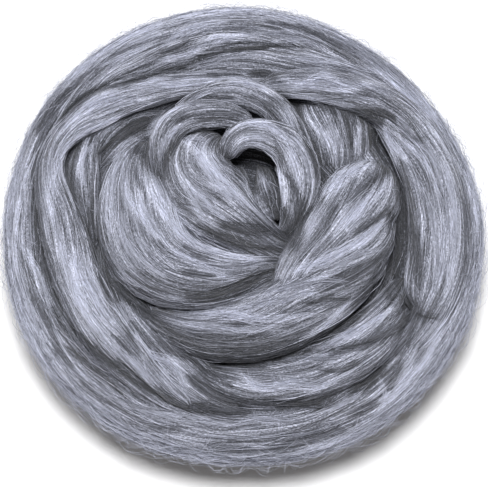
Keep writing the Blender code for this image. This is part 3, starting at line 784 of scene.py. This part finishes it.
# %% The melange node group
# the ramp's dark end is reached mostly where painted shade is laid on, in hollows and along dark streaks
DEEP = (0.040, 0.042, 0.048, 1.0)
MID = (0.216, 0.226, 0.274, 1.0)
PALE = (0.79, 0.82, 0.97, 1.0)
MID_AT = 0.45
GREYS = ((0.03, 2.4), (0.012, 0.55), (1.1, 1.9))  # waves in each millimetre, along and across the fibres


def math_node(group, operation, *values):
    """The output of a new Math node; each value is a number or the output of another node."""
    node = group.nodes.new("ShaderNodeMath")
    node.operation = operation
    for socket, value in zip(node.inputs, values):
        if isinstance(value, float):
            socket.default_value = value
        else:
            group.links.new(value, socket)
    return node.outputs[0]


def grey_noise(group, flow, waves):
    """The output of a noise that is stretched along the fibres."""
    scale = group.nodes.new("ShaderNodeVectorMath")
    scale.operation = "MULTIPLY"
    scale.inputs[1].default_value = (*waves, 1.0)
    group.links.new(flow, scale.inputs[0])
    pattern = group.nodes.new("ShaderNodeTexNoise")
    pattern.inputs["Scale"].default_value = 1.0
    pattern.inputs["Detail"].default_value = 3.0
    pattern.inputs["Roughness"].default_value = 0.7
    group.links.new(scale.outputs[0], pattern.inputs["Vector"])
    return pattern.outputs["Fac"]


def melange_group():
    """Node group: Tone, Flow and Spread in, Color and Height out."""
    group = bpy.data.node_groups.new("melange", "ShaderNodeTree")
    tone = group.interface.new_socket("Tone", in_out="INPUT", socket_type="NodeSocketFloat")
    group.interface.new_socket("Flow", in_out="INPUT", socket_type="NodeSocketVector")
    spread = group.interface.new_socket("Spread", in_out="INPUT", socket_type="NodeSocketFloat")
    group.interface.new_socket("Color", in_out="OUTPUT", socket_type="NodeSocketColor")
    group.interface.new_socket("Height", in_out="OUTPUT", socket_type="NodeSocketFloat")
    tone.default_value = spread.default_value = 0.5
    entry, leave = group.nodes.new("NodeGroupInput"), group.nodes.new("NodeGroupOutput")
    broad, fine, specks = (grey_noise(group, entry.outputs["Flow"], waves) for waves in GREYS)
    total = math_node(group, "ADD", math_node(group, "ADD", broad, fine), specks)
    centred = math_node(group, "SUBTRACT", total, 0.5 * len(GREYS))
    shade = math_node(group, "MULTIPLY_ADD", centred, entry.outputs["Spread"], entry.outputs["Tone"])
    ramp = group.nodes.new("ShaderNodeValToRGB")
    ramp.color_ramp.elements[0].color = DEEP
    ramp.color_ramp.elements[1].color = PALE
    ramp.color_ramp.elements.new(MID_AT).color = MID
    group.links.new(shade, ramp.inputs["Fac"])
    group.links.new(ramp.outputs["Color"], leave.inputs["Color"])
    group.links.new(broad, leave.inputs["Height"])
    return group


MELANGE = melange_group()
print("melange sockets:", [item.name for item in MELANGE.interface.items_tree])


# %% [markdown]
# ## Wool and silk
#
# The laps, the wool fibres and the silk are three finishes of that melange. Wool is matt with a soft edge
# glow, which sheen gives. Silk is smoother, so it has the least roughness and one even grey to a fibre.
# Only the laps have a bump, because the fibres are real.

# %% Wool and silk materials
def wool_material(name, spread, roughness, sheen, bump_depth=0.0):
    """A strand material: the melange by the strand's own tone, with the wool's soft glow."""
    material = bpy.data.materials.new(name)
    material.use_nodes = True
    nodes, links = material.node_tree.nodes, material.node_tree.links
    shader = nodes["Principled BSDF"]
    shader.inputs["Roughness"].default_value = roughness
    shader.inputs["Sheen Weight"].default_value = sheen
    shader.inputs["Sheen Roughness"].default_value = 0.4
    shader.inputs["Specular IOR Level"].default_value = 0.25
    melange = nodes.new("ShaderNodeGroup")
    melange.node_tree = MELANGE
    melange.inputs["Spread"].default_value = spread
    for socket, attribute, output in (("Tone", "tone", "Fac"), ("Flow", "flow", "Vector")):
        reader = nodes.new("ShaderNodeAttribute")
        reader.attribute_name = attribute
        links.new(reader.outputs[output], melange.inputs[socket])
    links.new(melange.outputs["Color"], shader.inputs["Base Color"])
    if bump_depth:
        bump = nodes.new("ShaderNodeBump")
        bump.inputs["Distance"].default_value = bump_depth * MM
        links.new(melange.outputs["Height"], bump.inputs["Height"])
        links.new(bump.outputs["Normal"], shader.inputs["Normal"])
    return material


LAP_WOOL = wool_material("lap_wool", spread=1.9, roughness=0.8, sheen=0.15, bump_depth=0.6)
FIBRE_WOOL = wool_material("fibre_wool", spread=0.8, roughness=0.65, sheen=0.2)
SILK = wool_material("silk_fibre", spread=0.6, roughness=0.62, sheen=0.15)
print("materials:", [m.name for m in (LAP_WOOL, FIBRE_WOOL, SILK)])


# %% [markdown]
# ## Meshes from arrays
#
# Laps and fibres are both grids of points: rings of points in order along a line. One helper turns such
# a grid into a mesh object, and stores what the materials read: the tone of the strand and its flow
# coordinates. It also writes a map named `OFBake`, in which no two faces overlap, so that the finish can
# be baked. Nothing may reach through the table, so points below it are lifted onto it.

# %% Mesh helper
triangles = {}


def piece_from(name, points, faces, tones, flows, uvs, material):
    """A mesh object that rides on the body, stands for the nest's solid and carries its attributes."""
    points[:, 2] = np.maximum(points[:, 2], 0.0)
    mesh = bpy.data.meshes.new(name)
    mesh.from_pydata((points * MM).tolist(), [], faces)
    mesh.attributes.new("tone", "FLOAT", "POINT").data.foreach_set("value", tones.astype(np.float32))
    flow = mesh.attributes.new("flow", "FLOAT_VECTOR", "POINT")
    flow.data.foreach_set("vector", flows.astype(np.float32).ravel())
    corner = np.empty(len(mesh.loops), np.int32)
    mesh.loops.foreach_get("vertex_index", corner)
    layer = mesh.uv_layers.new(name="OFBake")
    layer.data.foreach_set("uv", uvs[corner].astype(np.float32).ravel())
    mesh.materials.append(material)
    mesh.shade_smooth()
    piece = bpy.data.objects.new(name, mesh)
    bpy.context.scene.collection.objects.link(piece)
    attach(piece, "root")
    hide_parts("roving_nest")
    triangles[name] = sum(len(face) - 2 for face in faces)
    return piece


# %% [markdown]
# ## The laps themselves
#
# A lap is a row of sections from nose to nose, close enough together to hold the locks. Each ring of
# points starts at the lap's underside, where nobody sees the seam. Its tone is the wool's grey, made
# paler or darker by the streaks, some of which are painted light and shade, darker in the hollows by
# painted shade, and paler at the rim, partly for the veil of loose hairs and partly as painted light on
# the steep wall.

# %% Build the laps
ALONG_STEP = 1.8
ROUND_STEP = 1.25
SEAM = -math.pi / 2
MOSTLY_HIDDEN = ("foot_turn", "inner_turn", "packed_middle")
HIDDEN_COARSER = 2.6
# the packed middle, seen only deep in the hollow, is made darker by painted shade; DARKEST is where painted
# shade stops
BODY_TONE, PACKED_SHADE_TONE, DARKEST = 0.37, 0.28, 0.02
# STREAK_TONE carries the silk's own paleness together with the painted light and shade of the streaks
STREAK_TONE = 0.42
# painted shade: how much darker the wool is made deep between two laps
HOLLOW_SHADE_TONE = 0.37
# paler towards the rim: partly the veil of pale loose hairs, partly painted light on the steep wall that
# turns from the light
VEIL_AND_RIM_LIGHT_TONE = 0.24
VEIL_AND_RIM_LIGHT_FROM, VEIL_AND_RIM_LIGHT_OVER = 87.0, 9.0  # millimetres from the middle, and over how many the veil thickens
LAYER_APART = 10.0  # keeps the melange of one lap unlike the next one's


def ground_tone(lap, points, out):
    """The tone at points of a lap: the wool's grey, the streaks, painted shade in hollows and a paler rim.
    """
    body = PACKED_SHADE_TONE if lap is PACKED else BODY_TONE
    veil_and_rim_light = np.clip((np.hypot(points[..., 0], points[..., 1]) - VEIL_AND_RIM_LIGHT_FROM) / VEIL_AND_RIM_LIGHT_OVER, 0.0, 1.0)
    tone = body + STREAK_TONE * streakiness(points, out) + VEIL_AND_RIM_LIGHT_TONE * veil_and_rim_light
    return np.maximum(tone - HOLLOW_SHADE_TONE * hollowness(points), DARKEST)


def lap_faces(rows, columns, ring):
    """The faces round a lap, closed in a ring or with a face over each end."""
    faces = []
    for i in range(rows if ring else rows - 1):
        a, b = i * columns, (i + 1) % rows * columns
        faces += [(a + j, b + j, b + (j + 1) % columns, a + (j + 1) % columns) for j in range(columns)]
    if not ring:
        last = (rows - 1) * columns
        faces.append(tuple(range(columns)))
        faces.append(tuple(last + j for j in reversed(range(columns))))
    return faces


def lap_piece(lap):
    """One lap as a closed mesh with its locks and creases."""
    coarse = HIDDEN_COARSER if lap.name in MOSTLY_HIDDEN else 1.0
    rows = max(8, round(lap_length(lap) / ALONG_STEP / coarse))
    columns = max(16, round(math.pi * nominal_width(lap) * ROUND_SHARE / ROUND_STEP / coarse))
    ring = is_ring(lap)
    shares = np.arange(rows) / rows if ring else np.linspace(0.0, 1.0, rows)
    angles = SEAM + math.tau * np.arange(columns) / columns
    t, phi = (a.ravel() for a in np.meshgrid(shares, angles, indexing="ij"))
    points, out = lap_surface(lap, t, phi)
    u, v = t * lap_length(lap), phi * nominal_radius(lap)
    bent = v + flow_bend(lap, u, v) - twisted(lap, t)
    flows = np.stack([u, bent, np.full_like(u, LAYER_APART * LAYERS[lap.name])], -1)
    uvs = np.stack([t, (phi - SEAM) / math.tau], -1)
    faces = lap_faces(rows, columns, ring)
    if lap.end < lap.start:
        faces = [face[::-1] for face in faces]
    return piece_from(lap.name, points, faces, ground_tone(lap, points, out), flows, uvs, LAP_WOOL)


lap_pieces = [lap_piece(lap) for lap in ALL_LAPS]
print("laps:", sum(triangles.values()), "triangles")


# %% [markdown]
# ## Where the nest shows
#
# Wool shows its fibres, so they are real, but a fibre that nobody can see is wasted. The nest's own solid
# is the skin over all the laps, so a place that lies deep under it is covered by another lap. Of the places
# that face sideways or down, a share is enough, because the camera hardly sees them.

# %% Which places are covered
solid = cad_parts["roving_nest"]
skin = BVHTree.FromPolygons([v.co for v in solid.data.vertices], [p.vertices for p in solid.data.polygons])
TURNED_AWAY = 0.4  # the share that is tried of the places that don't face up
FIBRES_DOWN_TO, HAIRS_DOWN_TO = 2.6, 1.0  # millimetres under the skin


def depth_under_skin(points):
    """How deep each point, in millimetres, lies under the nest's own surface; below zero is outside."""
    depths = np.empty(len(points))
    for i, point in enumerate(points * MM):
        near, normal, _, distance = skin.find_nearest(Vector(point))
        inside = (Vector(point) - near).dot(normal) < 0
        depths[i] = (distance if inside else -distance) / MM
    return depths


def open_places(lap, rng, count, angles, deepest):
    """(t, phi) of random places on a lap, between two section angles, without those that are covered."""
    t = rng.random(count)
    phi = np.radians(rng.uniform(*angles, count))
    point, out = lap_surface(lap, t, phi)
    tried = (out[:, 2] > 0.1) | (rng.random(count) < TURNED_AWAY)
    shows = np.zeros(count, bool)
    shows[tried] = depth_under_skin(point[tried]) <= deepest
    return t[shows], phi[shows]


print("mm from the wall turn's crest up to the skin:", np.round(depth_under_skin(trial), 1))


# %% [markdown]
# ## Tubes for fibres
#
# A fibre is a thin tube of three sides that tapers to a point at both ends. Three sides are enough for
# something a tenth of a millimetre thick, and they leave triangles for more fibres. Thousands of them
# make one mesh. In the map that bakes the finish, each has a strip of its own.

# %% Tube helpers
SIDES = 3
FIBRE_FLOW = 50.0  # a fibre's length in the melange, whatever its real one
FIBRE_APART = 1.37  # keeps the melange of one fibre unlike the next one's


def tubes(paths, outs, radii):
    """(points, faces, points in each) of tapered tubes along paths: an array of fibres, places and xyz."""
    count, n, _ = paths.shape
    tangents = unit(np.gradient(paths, axis=1))
    across = unit(np.cross(tangents, outs))
    over = np.cross(across, tangents)
    share = np.linspace(-1.0, 1.0, n)
    taper = np.sqrt(np.clip(1.0 - share**4, 0.0, 1.0))[None, :, None]
    corners = []
    for k in range(SIDES):
        a = math.tau * k / SIDES + math.pi / 2
        corners.append(paths + (across * math.cos(a) + over * math.sin(a)) * radii[:, None, None] * taper)
    body = np.stack(corners, 2)[:, 1:-1].reshape(count, -1, 3)
    points = np.concatenate([paths[:, :1], body, paths[:, -1:]], 1)
    each = points.shape[1]
    pattern = []
    for k in range(SIDES):
        after = (k + 1) % SIDES
        pattern.append((0, 1 + after, 1 + k))
        for a in range(1, 1 + (n - 3) * SIDES, SIDES):
            b = a + SIDES
            pattern.append((a + k, a + after, b + after, b + k))
        pattern.append((1 + (n - 3) * SIDES + k, 1 + (n - 3) * SIDES + after, each - 1))
    faces = [tuple(base + i for i in face) for base in range(0, count * each, each) for face in pattern]
    return points.reshape(-1, 3), faces, each


def along_tube(n):
    """How far along its fibre each point of a tube lies, from 0 to 1."""
    share = np.linspace(0.0, 1.0, n)
    return np.concatenate([[0.0], np.repeat(share[1:-1], SIDES), [1.0]])


def strip_map(count, n):
    """Map coordinates that give each fibre a strip of its own."""
    v = np.concatenate([[0.5], np.tile(np.linspace(0.1, 0.9, SIDES), n - 2), [0.5]])
    strips = (np.arange(count)[:, None] + v[None, :]).ravel() / count
    return np.stack([np.tile(along_tube(n), count), strips], -1)


def fibre_piece(name, paths, outs, radii, tones, material):
    """Many fibres as one mesh; tones are given for every point of every path."""
    count, n, _ = paths.shape
    points, faces, each = tubes(paths, outs, radii)
    own = np.repeat(np.arange(count) * FIBRE_APART, each)
    flows = np.stack([np.tile(along_tube(n) * FIBRE_FLOW, count), own, np.zeros(count * each)], -1)
    shades = np.concatenate([tones[:, :1], np.repeat(tones[:, 1:-1], SIDES, 1), tones[:, -1:]], 1)
    return piece_from(name, points, faces, shades.ravel(), flows, strip_map(count, n), material)


# %% [markdown]
# ## Lay the fibres of a lap
#
# A fibre runs along its lap and follows the bent flow, so neighbours run side by side, and both its ends
# sink into the lap. It waves a little, and drifts a little across the others, as combed wool does. Its
# grey starts from the tone of the lap under it, painted shade and painted light included, and differs
# from it; neighbours are alike, being combed together, with a few far darker ones among them.

# %% Wool fibres
PER_SQUARE_CM = 9.6
FIBRE_POINTS = 9
FIBRE_LENGTH = (20.0, 52.0)
FIBRE_RADIUS = (0.055, 0.13)
FIBRE_ANGLES = (-70.0, 250.0)  # degrees round a section from its outer side; the underside has none
FIBRE_DRIFT = 2.8  # how far a fibre strays across its neighbours, in millimetres
FIBRE_WAVE, WAVE_STEP = 0.3, (2.4, 5.0)  # a wave's reach to the side, and its length over tau
FIBRE_LIFT = 0.28  # millimetres off the lap, on average
GREY_WAVES = [Waves(90, 4.0, 0.3), Waves(60, 0.7, 0.5)]  # their size is a tone
OWN_TONE, OWN_SPREAD, OWN_DARK = 0.21, 0.26, 0.16
SHARE = np.linspace(-0.5, 0.5, FIBRE_POINTS)


def own_tones(lap, u, v, rng):
    """How much paler fibres are than the wool round them."""
    layer = LAYERS[lap.name] + len(DRIFTS) + len(LOCKS)
    waves = (w.size * (noise(u / w.along, v / w.across, layer + k) - 0.5) for k, w in enumerate(GREY_WAVES))
    chance = rng.normal(0, OWN_SPREAD, len(u)) - rng.exponential(OWN_DARK, len(u))
    return sum(waves, OWN_TONE) + chance


def lay_fibres(lap, rng, count):
    """(paths, directions out, tones) of fibres at random places on a lap, where it shows."""
    length, nominal = lap_length(lap), nominal_radius(lap)
    t_mid, phi_mid = open_places(lap, rng, count, FIBRE_ANGLES, FIBRES_DOWN_TO)
    m = len(t_mid)
    long = np.minimum(rng.uniform(*FIBRE_LENGTH, m), 0.8 * length)
    t = t_mid[:, None] + SHARE * (long / length)[:, None]
    if not is_ring(lap):
        t = np.clip(t, 0.0, 1.0) + SHARE * 1e-3
    u = t * length
    v = phi_mid[:, None] * nominal + rng.normal(0, FIBRE_DRIFT, m)[:, None] * SHARE
    bend = flow_bend(lap, u, v) - twisted(lap, t)
    bend = bend - bend.mean(1, keepdims=True)
    high = rng.normal(0, FIBRE_WAVE, (m, 1))
    wave = high * np.sin(u / rng.uniform(*WAVE_STEP, (m, 1)) + rng.uniform(0, 6, (m, 1)))
    lift = rng.exponential(FIBRE_LIFT, m)[:, None] * (1 - (2 * SHARE) ** 4) - 0.1
    lift = lift - 0.5 * (2 * np.abs(SHARE)) ** 6
    path, out = lap_surface(lap, t, (v - bend + wave) / nominal, lift)
    own = own_tones(lap, t_mid * length, phi_mid * nominal, rng)
    tones = ground_tone(lap, path, out) + own[:, None] * (1 - (2 * SHARE) ** 4)
    return path, out, np.clip(tones, 0.03, 0.97)


def lap_area(lap):
    """A lap's surface in square centimetres."""
    return lap_length(lap) * math.pi * nominal_width(lap) * ROUND_SHARE / 100


strands = 0
for lap in ALL_LAPS:
    rng = np.random.default_rng([SEED, LAYERS[lap.name]])
    paths, outs, tones = lay_fibres(lap, rng, int(PER_SQUARE_CM * lap_area(lap)))
    if len(paths):
        radii = rng.uniform(*FIBRE_RADIUS, len(paths))
        fibre_piece(lap.name + "_fibres", paths, outs, radii, tones, FIBRE_WOOL)
        strands += len(paths)
print("fibres:", strands, "triangles so far:", sum(triangles.values()))


# %% [markdown]
# ## Land on the laps
#
# The fibres of a streak are drawn flat, in the view, and then laid down along the line of sight onto the
# laps, so they touch the wool wherever one looks from. A line that starts on one lap can land on another,
# and a fibre would then jump across the gap. Only the longest stretch that does not jump is kept.

# %% From lines of sight to places on the laps
STEEPEST = 1.6  # rise of a fibre toward the camera, per millimetre across the view, that breaks it


def joined_tree(pieces):
    """One search tree over the surfaces of many pieces, in millimetres."""
    corners, faces, base = [], [], 0
    for piece in pieces:
        points = np.empty(3 * len(piece.data.vertices))
        piece.data.vertices.foreach_get("co", points)
        corners += (points.reshape(-1, 3) / MM).tolist()
        faces += [[base + i for i in p.vertices] for p in piece.data.polygons]
        base += len(piece.data.vertices)
    return BVHTree.FromPolygons(corners, faces)


laps_tree = joined_tree(lap_pieces)


def land(x, y):
    """(points, directions out) where the lines of sight to x, y meet the laps; a miss is not a number."""
    lines = sight_line(x, y)
    points, outs = np.full(lines.shape, np.nan), np.full(lines.shape, np.nan)
    start = Vector(CAMERA_AT)
    for place in np.ndindex(x.shape):
        hit, normal, _, _ = laps_tree.ray_cast(start, Vector(lines[place]))
        if hit is not None:
            points[place], outs[place] = hit, normal
    return points, outs


def longest_run(points):
    """(first, last) of the longest stretch of a path that does not jump."""
    steps = np.diff(points, axis=0)
    rise = np.abs(steps @ TO_CAMERA)
    across = np.sqrt(np.maximum((steps**2).sum(-1) - rise**2, 1e-6))
    broken = ~(rise < STEEPEST * across + 0.4)
    cuts = [-1, *np.flatnonzero(broken), len(steps)]
    k = int(np.diff(cuts).argmax())
    return cuts[k] + 1, cuts[k + 1]


def resample(rows, count):
    """The same path as count evenly spaced rows."""
    place = np.linspace(0, len(rows) - 1, count)
    return np.stack([np.interp(place, np.arange(len(rows)), column) for column in rows.T], -1)


landing, _ = land(np.array([0.0]), np.array([0.0]))
print("the middle of the view lands at", np.round(landing[0], 1), "mm")


# %% [markdown]
# ## Comb the streaks
#
# Each streak is now combed into the nest. Its fibres follow the drawn curve, spread to its width and
# gather again at its ends, and share a light crimp, so they read as one lock. In a pale streak they are
# silk, far paler than the wool, and in a dark one they are the darkest of its greys. Where a streak is
# painted shade or painted light, its fibres carry that paint too.

# %% Comb one streak
COMB_POINTS = 8
COMB_PER_SQUARE_MM = 0.26
COMB_LENGTH = (12.0, 32.0)
COMB_RADIUS = (0.05, 0.1)
COMB_END = 0.3  # how far fibres spread at the ends of a streak, as a share of their spread in its middle
COMB_SPREAD = 0.62  # how far fibres spread in the middle of a streak, in its half widths
CRIMP, CRIMP_STEP = 0.28, 2.6  # the crimp's reach to the side, and its length over tau
SWING = 0.35  # how far a fibre swings across its neighbours, in millimetres
SHORTEST_RUN = 3  # steps of a path
ENDS = np.abs(np.linspace(-1, 1, COMB_POINTS)) ** 6


def comb(streak, rng):
    """(paths, directions out) of the fibres of one streak."""
    length = np.hypot(*np.diff(on_curve(streak, np.linspace(0.0, 1.0, 40)))).sum()
    count = int(COMB_PER_SQUARE_MM * 2 * streak.width * length)
    reach = np.clip(rng.uniform(*COMB_LENGTH, count) / length, 0.0, 0.9)
    start = rng.uniform(-0.04, 1.04 - reach)
    t = np.clip(start[:, None] + np.linspace(0, 1, COMB_POINTS) * reach[:, None], 0.0, 1.0)
    x, y = on_curve(streak, t)
    dx, dy = on_curve(streak, np.minimum(t + 0.01, 1)) - on_curve(streak, np.maximum(t - 0.01, 0))
    size = np.maximum(np.hypot(dx, dy), 1e-6)
    beside = rng.normal(0, COMB_SPREAD, count)[:, None] * streak.width
    crimp = CRIMP * np.sin(t * length / CRIMP_STEP + 0.5 * beside + rng.normal(0, 0.8, count)[:, None])
    swing = rng.normal(0, SWING, count)[:, None] * np.linspace(-1, 1, COMB_POINTS)
    offset = beside * spindle(t, COMB_END) + crimp + swing
    paths, directions = [], []
    for points, outs in zip(*land(x - dy / size * offset, y + dx / size * offset)):
        first, last = longest_run(points)
        if last - first < SHORTEST_RUN:
            continue
        path, out = points[first : last + 1].copy(), outs[first : last + 1]
        for _ in range(2):
            path[1:-1] = (path[:-2] + 2 * path[1:-1] + path[2:]) / 4
        paths.append(resample(path, COMB_POINTS))
        directions.append(unit(resample(out, COMB_POINTS) + 0.6 * TO_CAMERA))
    return np.array(paths), np.array(directions)


# %% [markdown]
# ## All the streaks
#
# The fibres are lifted a hair's breadth off the laps, with their ends tucked in, and shared out over
# pieces of a handy size. In a hollow they are darkened by painted shade, as the laps there are.

# %% Comb all streaks
PALE_STRAND, DARK_STRAND = (0.51, 0.32), (0.36, 0.3)  # tone without and gain with a streak's own tone
STRAND_SPREAD = 0.12
PER_PIECE = 1400
batches, pale_count = [], 0
for number, streak in enumerate(STREAKS):
    rng = np.random.default_rng([SEED, 1000 + number])
    paths, outs = comb(streak, rng)
    if not len(paths):
        continue
    count = len(paths)
    lift = rng.exponential(0.25, count)[:, None] * (1 - ENDS) + 0.18 - 0.6 * ENDS
    paths = paths + outs * lift[..., None]
    plain, gain = PALE_STRAND if streak.tone > 0 else DARK_STRAND
    own = plain + gain * streak.tone + rng.normal(0, STRAND_SPREAD, count) - BODY_TONE
    # the streak fibres get the same painted shade in the hollows as the laps
    tones = BODY_TONE + own[:, None] * (1 - 0.6 * ENDS) - 0.7 * HOLLOW_SHADE_TONE * hollowness(paths)
    batches.append((paths, outs, rng.uniform(*COMB_RADIUS, count), np.clip(tones, 0.02, 0.98)))
    pale_count += count if streak.tone > 0 else 0
combed = [np.concatenate(column) for column in zip(*batches)]
for first in range(0, len(combed[0]), PER_PIECE):
    some = (column[first : first + PER_PIECE] for column in combed)
    fibre_piece(f"streaks_{first // PER_PIECE + 1}", *some, SILK)
print("streak fibres:", len(combed[0]), "pale:", pale_count, "triangles so far:", sum(triangles.values()))


# %% [markdown]
# ## Loose hairs
#
# Combed wool is never quite smooth. Short hairs cross the grain, and round the outside long ones stand
# off in loops, which turns the outline soft and bright against the light. They are far thinner than the
# fibres that give the grain.

# %% Hair helpers
HAIR_POINTS = 5
HAIR_SHARE = np.linspace(0.0, 1.0, HAIR_POINTS)
STEEPEST_SLANT = 1.3
# Angles round the section in degrees, lengths and how far hairs stand off in millimetres, and how far
# they stray from the grain in radians
Hairs = namedtuple("Hairs", "angles lengths stand stray")


def hairs(lap, rng, count, kind):
    """(paths, directions out) of loose hairs of one kind that rise off a lap."""
    length, nominal = lap_length(lap), nominal_radius(lap)
    t_root, phi_root = open_places(lap, rng, count, kind.angles, HAIRS_DOWN_TO)
    m = len(t_root)
    long = (rng.uniform(*kind.lengths, m) * rng.choice([-1.0, 1.0], m))[:, None]
    slant = np.clip(rng.normal(0, kind.stray, m), -STEEPEST_SLANT, STEEPEST_SLANT)[:, None]
    curl = rng.normal(0, 0.4 * kind.stray, m)[:, None]
    forward = long * HAIR_SHARE * np.cos(slant)
    across = np.abs(long) * (np.sin(slant) * HAIR_SHARE + curl * 0.5 * HAIR_SHARE**2)
    t = t_root[:, None] + forward / length
    if not is_ring(lap):
        t = np.clip(t, 0.0, 1.0) + 1e-3 * HAIR_SHARE
    phi = phi_root[:, None] + across / nominal
    loop = np.sin(math.pi * HAIR_SHARE * rng.uniform(0.5, 1.0, m)[:, None])
    lift = np.minimum(rng.exponential(0.4, m), 1.2)[:, None] * kind.stand * loop - 0.1
    return lap_surface(lap, t, phi, lift)


def hair_pieces(name, parts, rng, tones, radii):
    """All loose hairs of some parts, in pieces of up to PER_PIECE; gives their number."""
    all_paths, all_outs = (np.concatenate(column) for column in zip(*parts))
    for first in range(0, len(all_paths), PER_PIECE):
        paths, outs = all_paths[first : first + PER_PIECE], all_outs[first : first + PER_PIECE]
        count = len(paths)
        shade = np.repeat(rng.uniform(*tones, count)[:, None], HAIR_POINTS, 1)
        part = f"{name}_{first // PER_PIECE + 1}"
        fibre_piece(part, paths, outs, rng.uniform(*radii, count), shade, SILK)
    return len(all_paths)


# %% [markdown]
# ## Grow the hairs
#
# The rim has the longest hairs, because nothing presses on it. The foot has some that reach out over the
# table. On the laps, and once more on the outside of the wall, short frizz crosses the grain.

# %% All loose hairs
RIM_HAIRS = Hairs((-8, 52), (3, 14), 4.0, 0.5)
FOOT_HAIRS = Hairs((-20, 60), (4, 11), 2.4, 0.5)
FRIZZ = Hairs((10, 170), (3, 11), 0.9, 0.8)
WALL_FRIZZ = Hairs((10, 120), (5, 15), 0.9, 0.7)
RIM_COUNT, FOOT_COUNT = 5600, 900
FRIZZ_PER_SQUARE_CM, WALL_FRIZZ_PER_SQUARE_CM = 5.0, 4.0
foot_turn, _, *upper_laps = LAPS
wall_turn, wall_laps = upper_laps[0], upper_laps[:5]
rng = np.random.default_rng([SEED, 5000])
rim = [hairs(wall_turn, rng, RIM_COUNT, RIM_HAIRS), hairs(foot_turn, rng, FOOT_COUNT, FOOT_HAIRS)]
hair_count = hair_pieces("rim_hairs", rim, rng, tones=(0.5, 0.95), radii=(0.04, 0.07))
frizz = [hairs(lap, rng, int(FRIZZ_PER_SQUARE_CM * lap_area(lap)), FRIZZ) for lap in upper_laps]
for lap in wall_laps:
    frizz.append(hairs(lap, rng, int(WALL_FRIZZ_PER_SQUARE_CM * lap_area(lap)), WALL_FRIZZ))
hair_count += hair_pieces("crossing_hairs", frizz, rng, tones=(0.2, 0.9), radii=(0.035, 0.065))
print(hair_count, "loose hairs;", sum(triangles.values()), "triangles in all")


# %% [markdown]
# ## Light and ground
#
# The nest lies on a white table under a big soft light from behind, so its shade falls a little towards
# the viewer. A weak warm light from the front fills that shade.

# %% Ground and lights
TABLE_REACH = 3.0
TABLE_WHITE = (0.93, 0.93, 0.93, 1.0)
AIM = Vector((0.0, 0.0, 0.03))


def ground():
    """A wide white table top."""
    mesh = bpy.data.meshes.new("table_top")
    corners = [(x * TABLE_REACH, y * TABLE_REACH, 0.0) for x, y in ((-1, -1), (1, -1), (1, 1), (-1, 1))]
    mesh.from_pydata(corners, [], [(0, 1, 2, 3)])
    material = bpy.data.materials.new("white_table")
    material.use_nodes = True
    shader = material.node_tree.nodes["Principled BSDF"]
    shader.inputs["Base Color"].default_value = TABLE_WHITE
    shader.inputs["Roughness"].default_value = 0.9
    mesh.materials.append(material)
    table = bpy.data.objects.new("table_top", mesh)
    bpy.context.scene.collection.objects.link(table)
    return table


def soft_light(name, place, size, power, colour):
    """A round area light that looks at the nest."""
    data = bpy.data.lights.new(name, "AREA")
    data.shape = "DISK"
    data.size = size
    data.energy = power
    data.color = colour
    light = bpy.data.objects.new(name, data)
    light.location = place
    light.rotation_euler = (AIM - Vector(place)).to_track_quat("-Z", "Y").to_euler()
    bpy.context.scene.collection.objects.link(light)
    return light


def dim_room(strength, colour):
    """An even, weak light from all round."""
    world = bpy.data.worlds.new("studio")
    world.use_nodes = True
    background = world.node_tree.nodes["Background"]
    background.inputs["Color"].default_value = colour
    background.inputs["Strength"].default_value = strength
    bpy.context.scene.world = world


ground()
lights = [
    soft_light("softbox", place=(-0.03, 0.11, 2.4), size=0.85, power=75.5, colour=(0.99, 0.99, 1.0)),
    soft_light("front_fill", place=(-0.3, -0.9, 0.8), size=0.9, power=1.0, colour=(1.0, 0.9, 0.78)),
]
dim_room(strength=0.11, colour=(1.0, 0.97, 0.93, 1.0))
bpy.context.scene.view_settings.view_transform = "Standard"
print("lights:", {light.name: light.data.energy for light in lights})
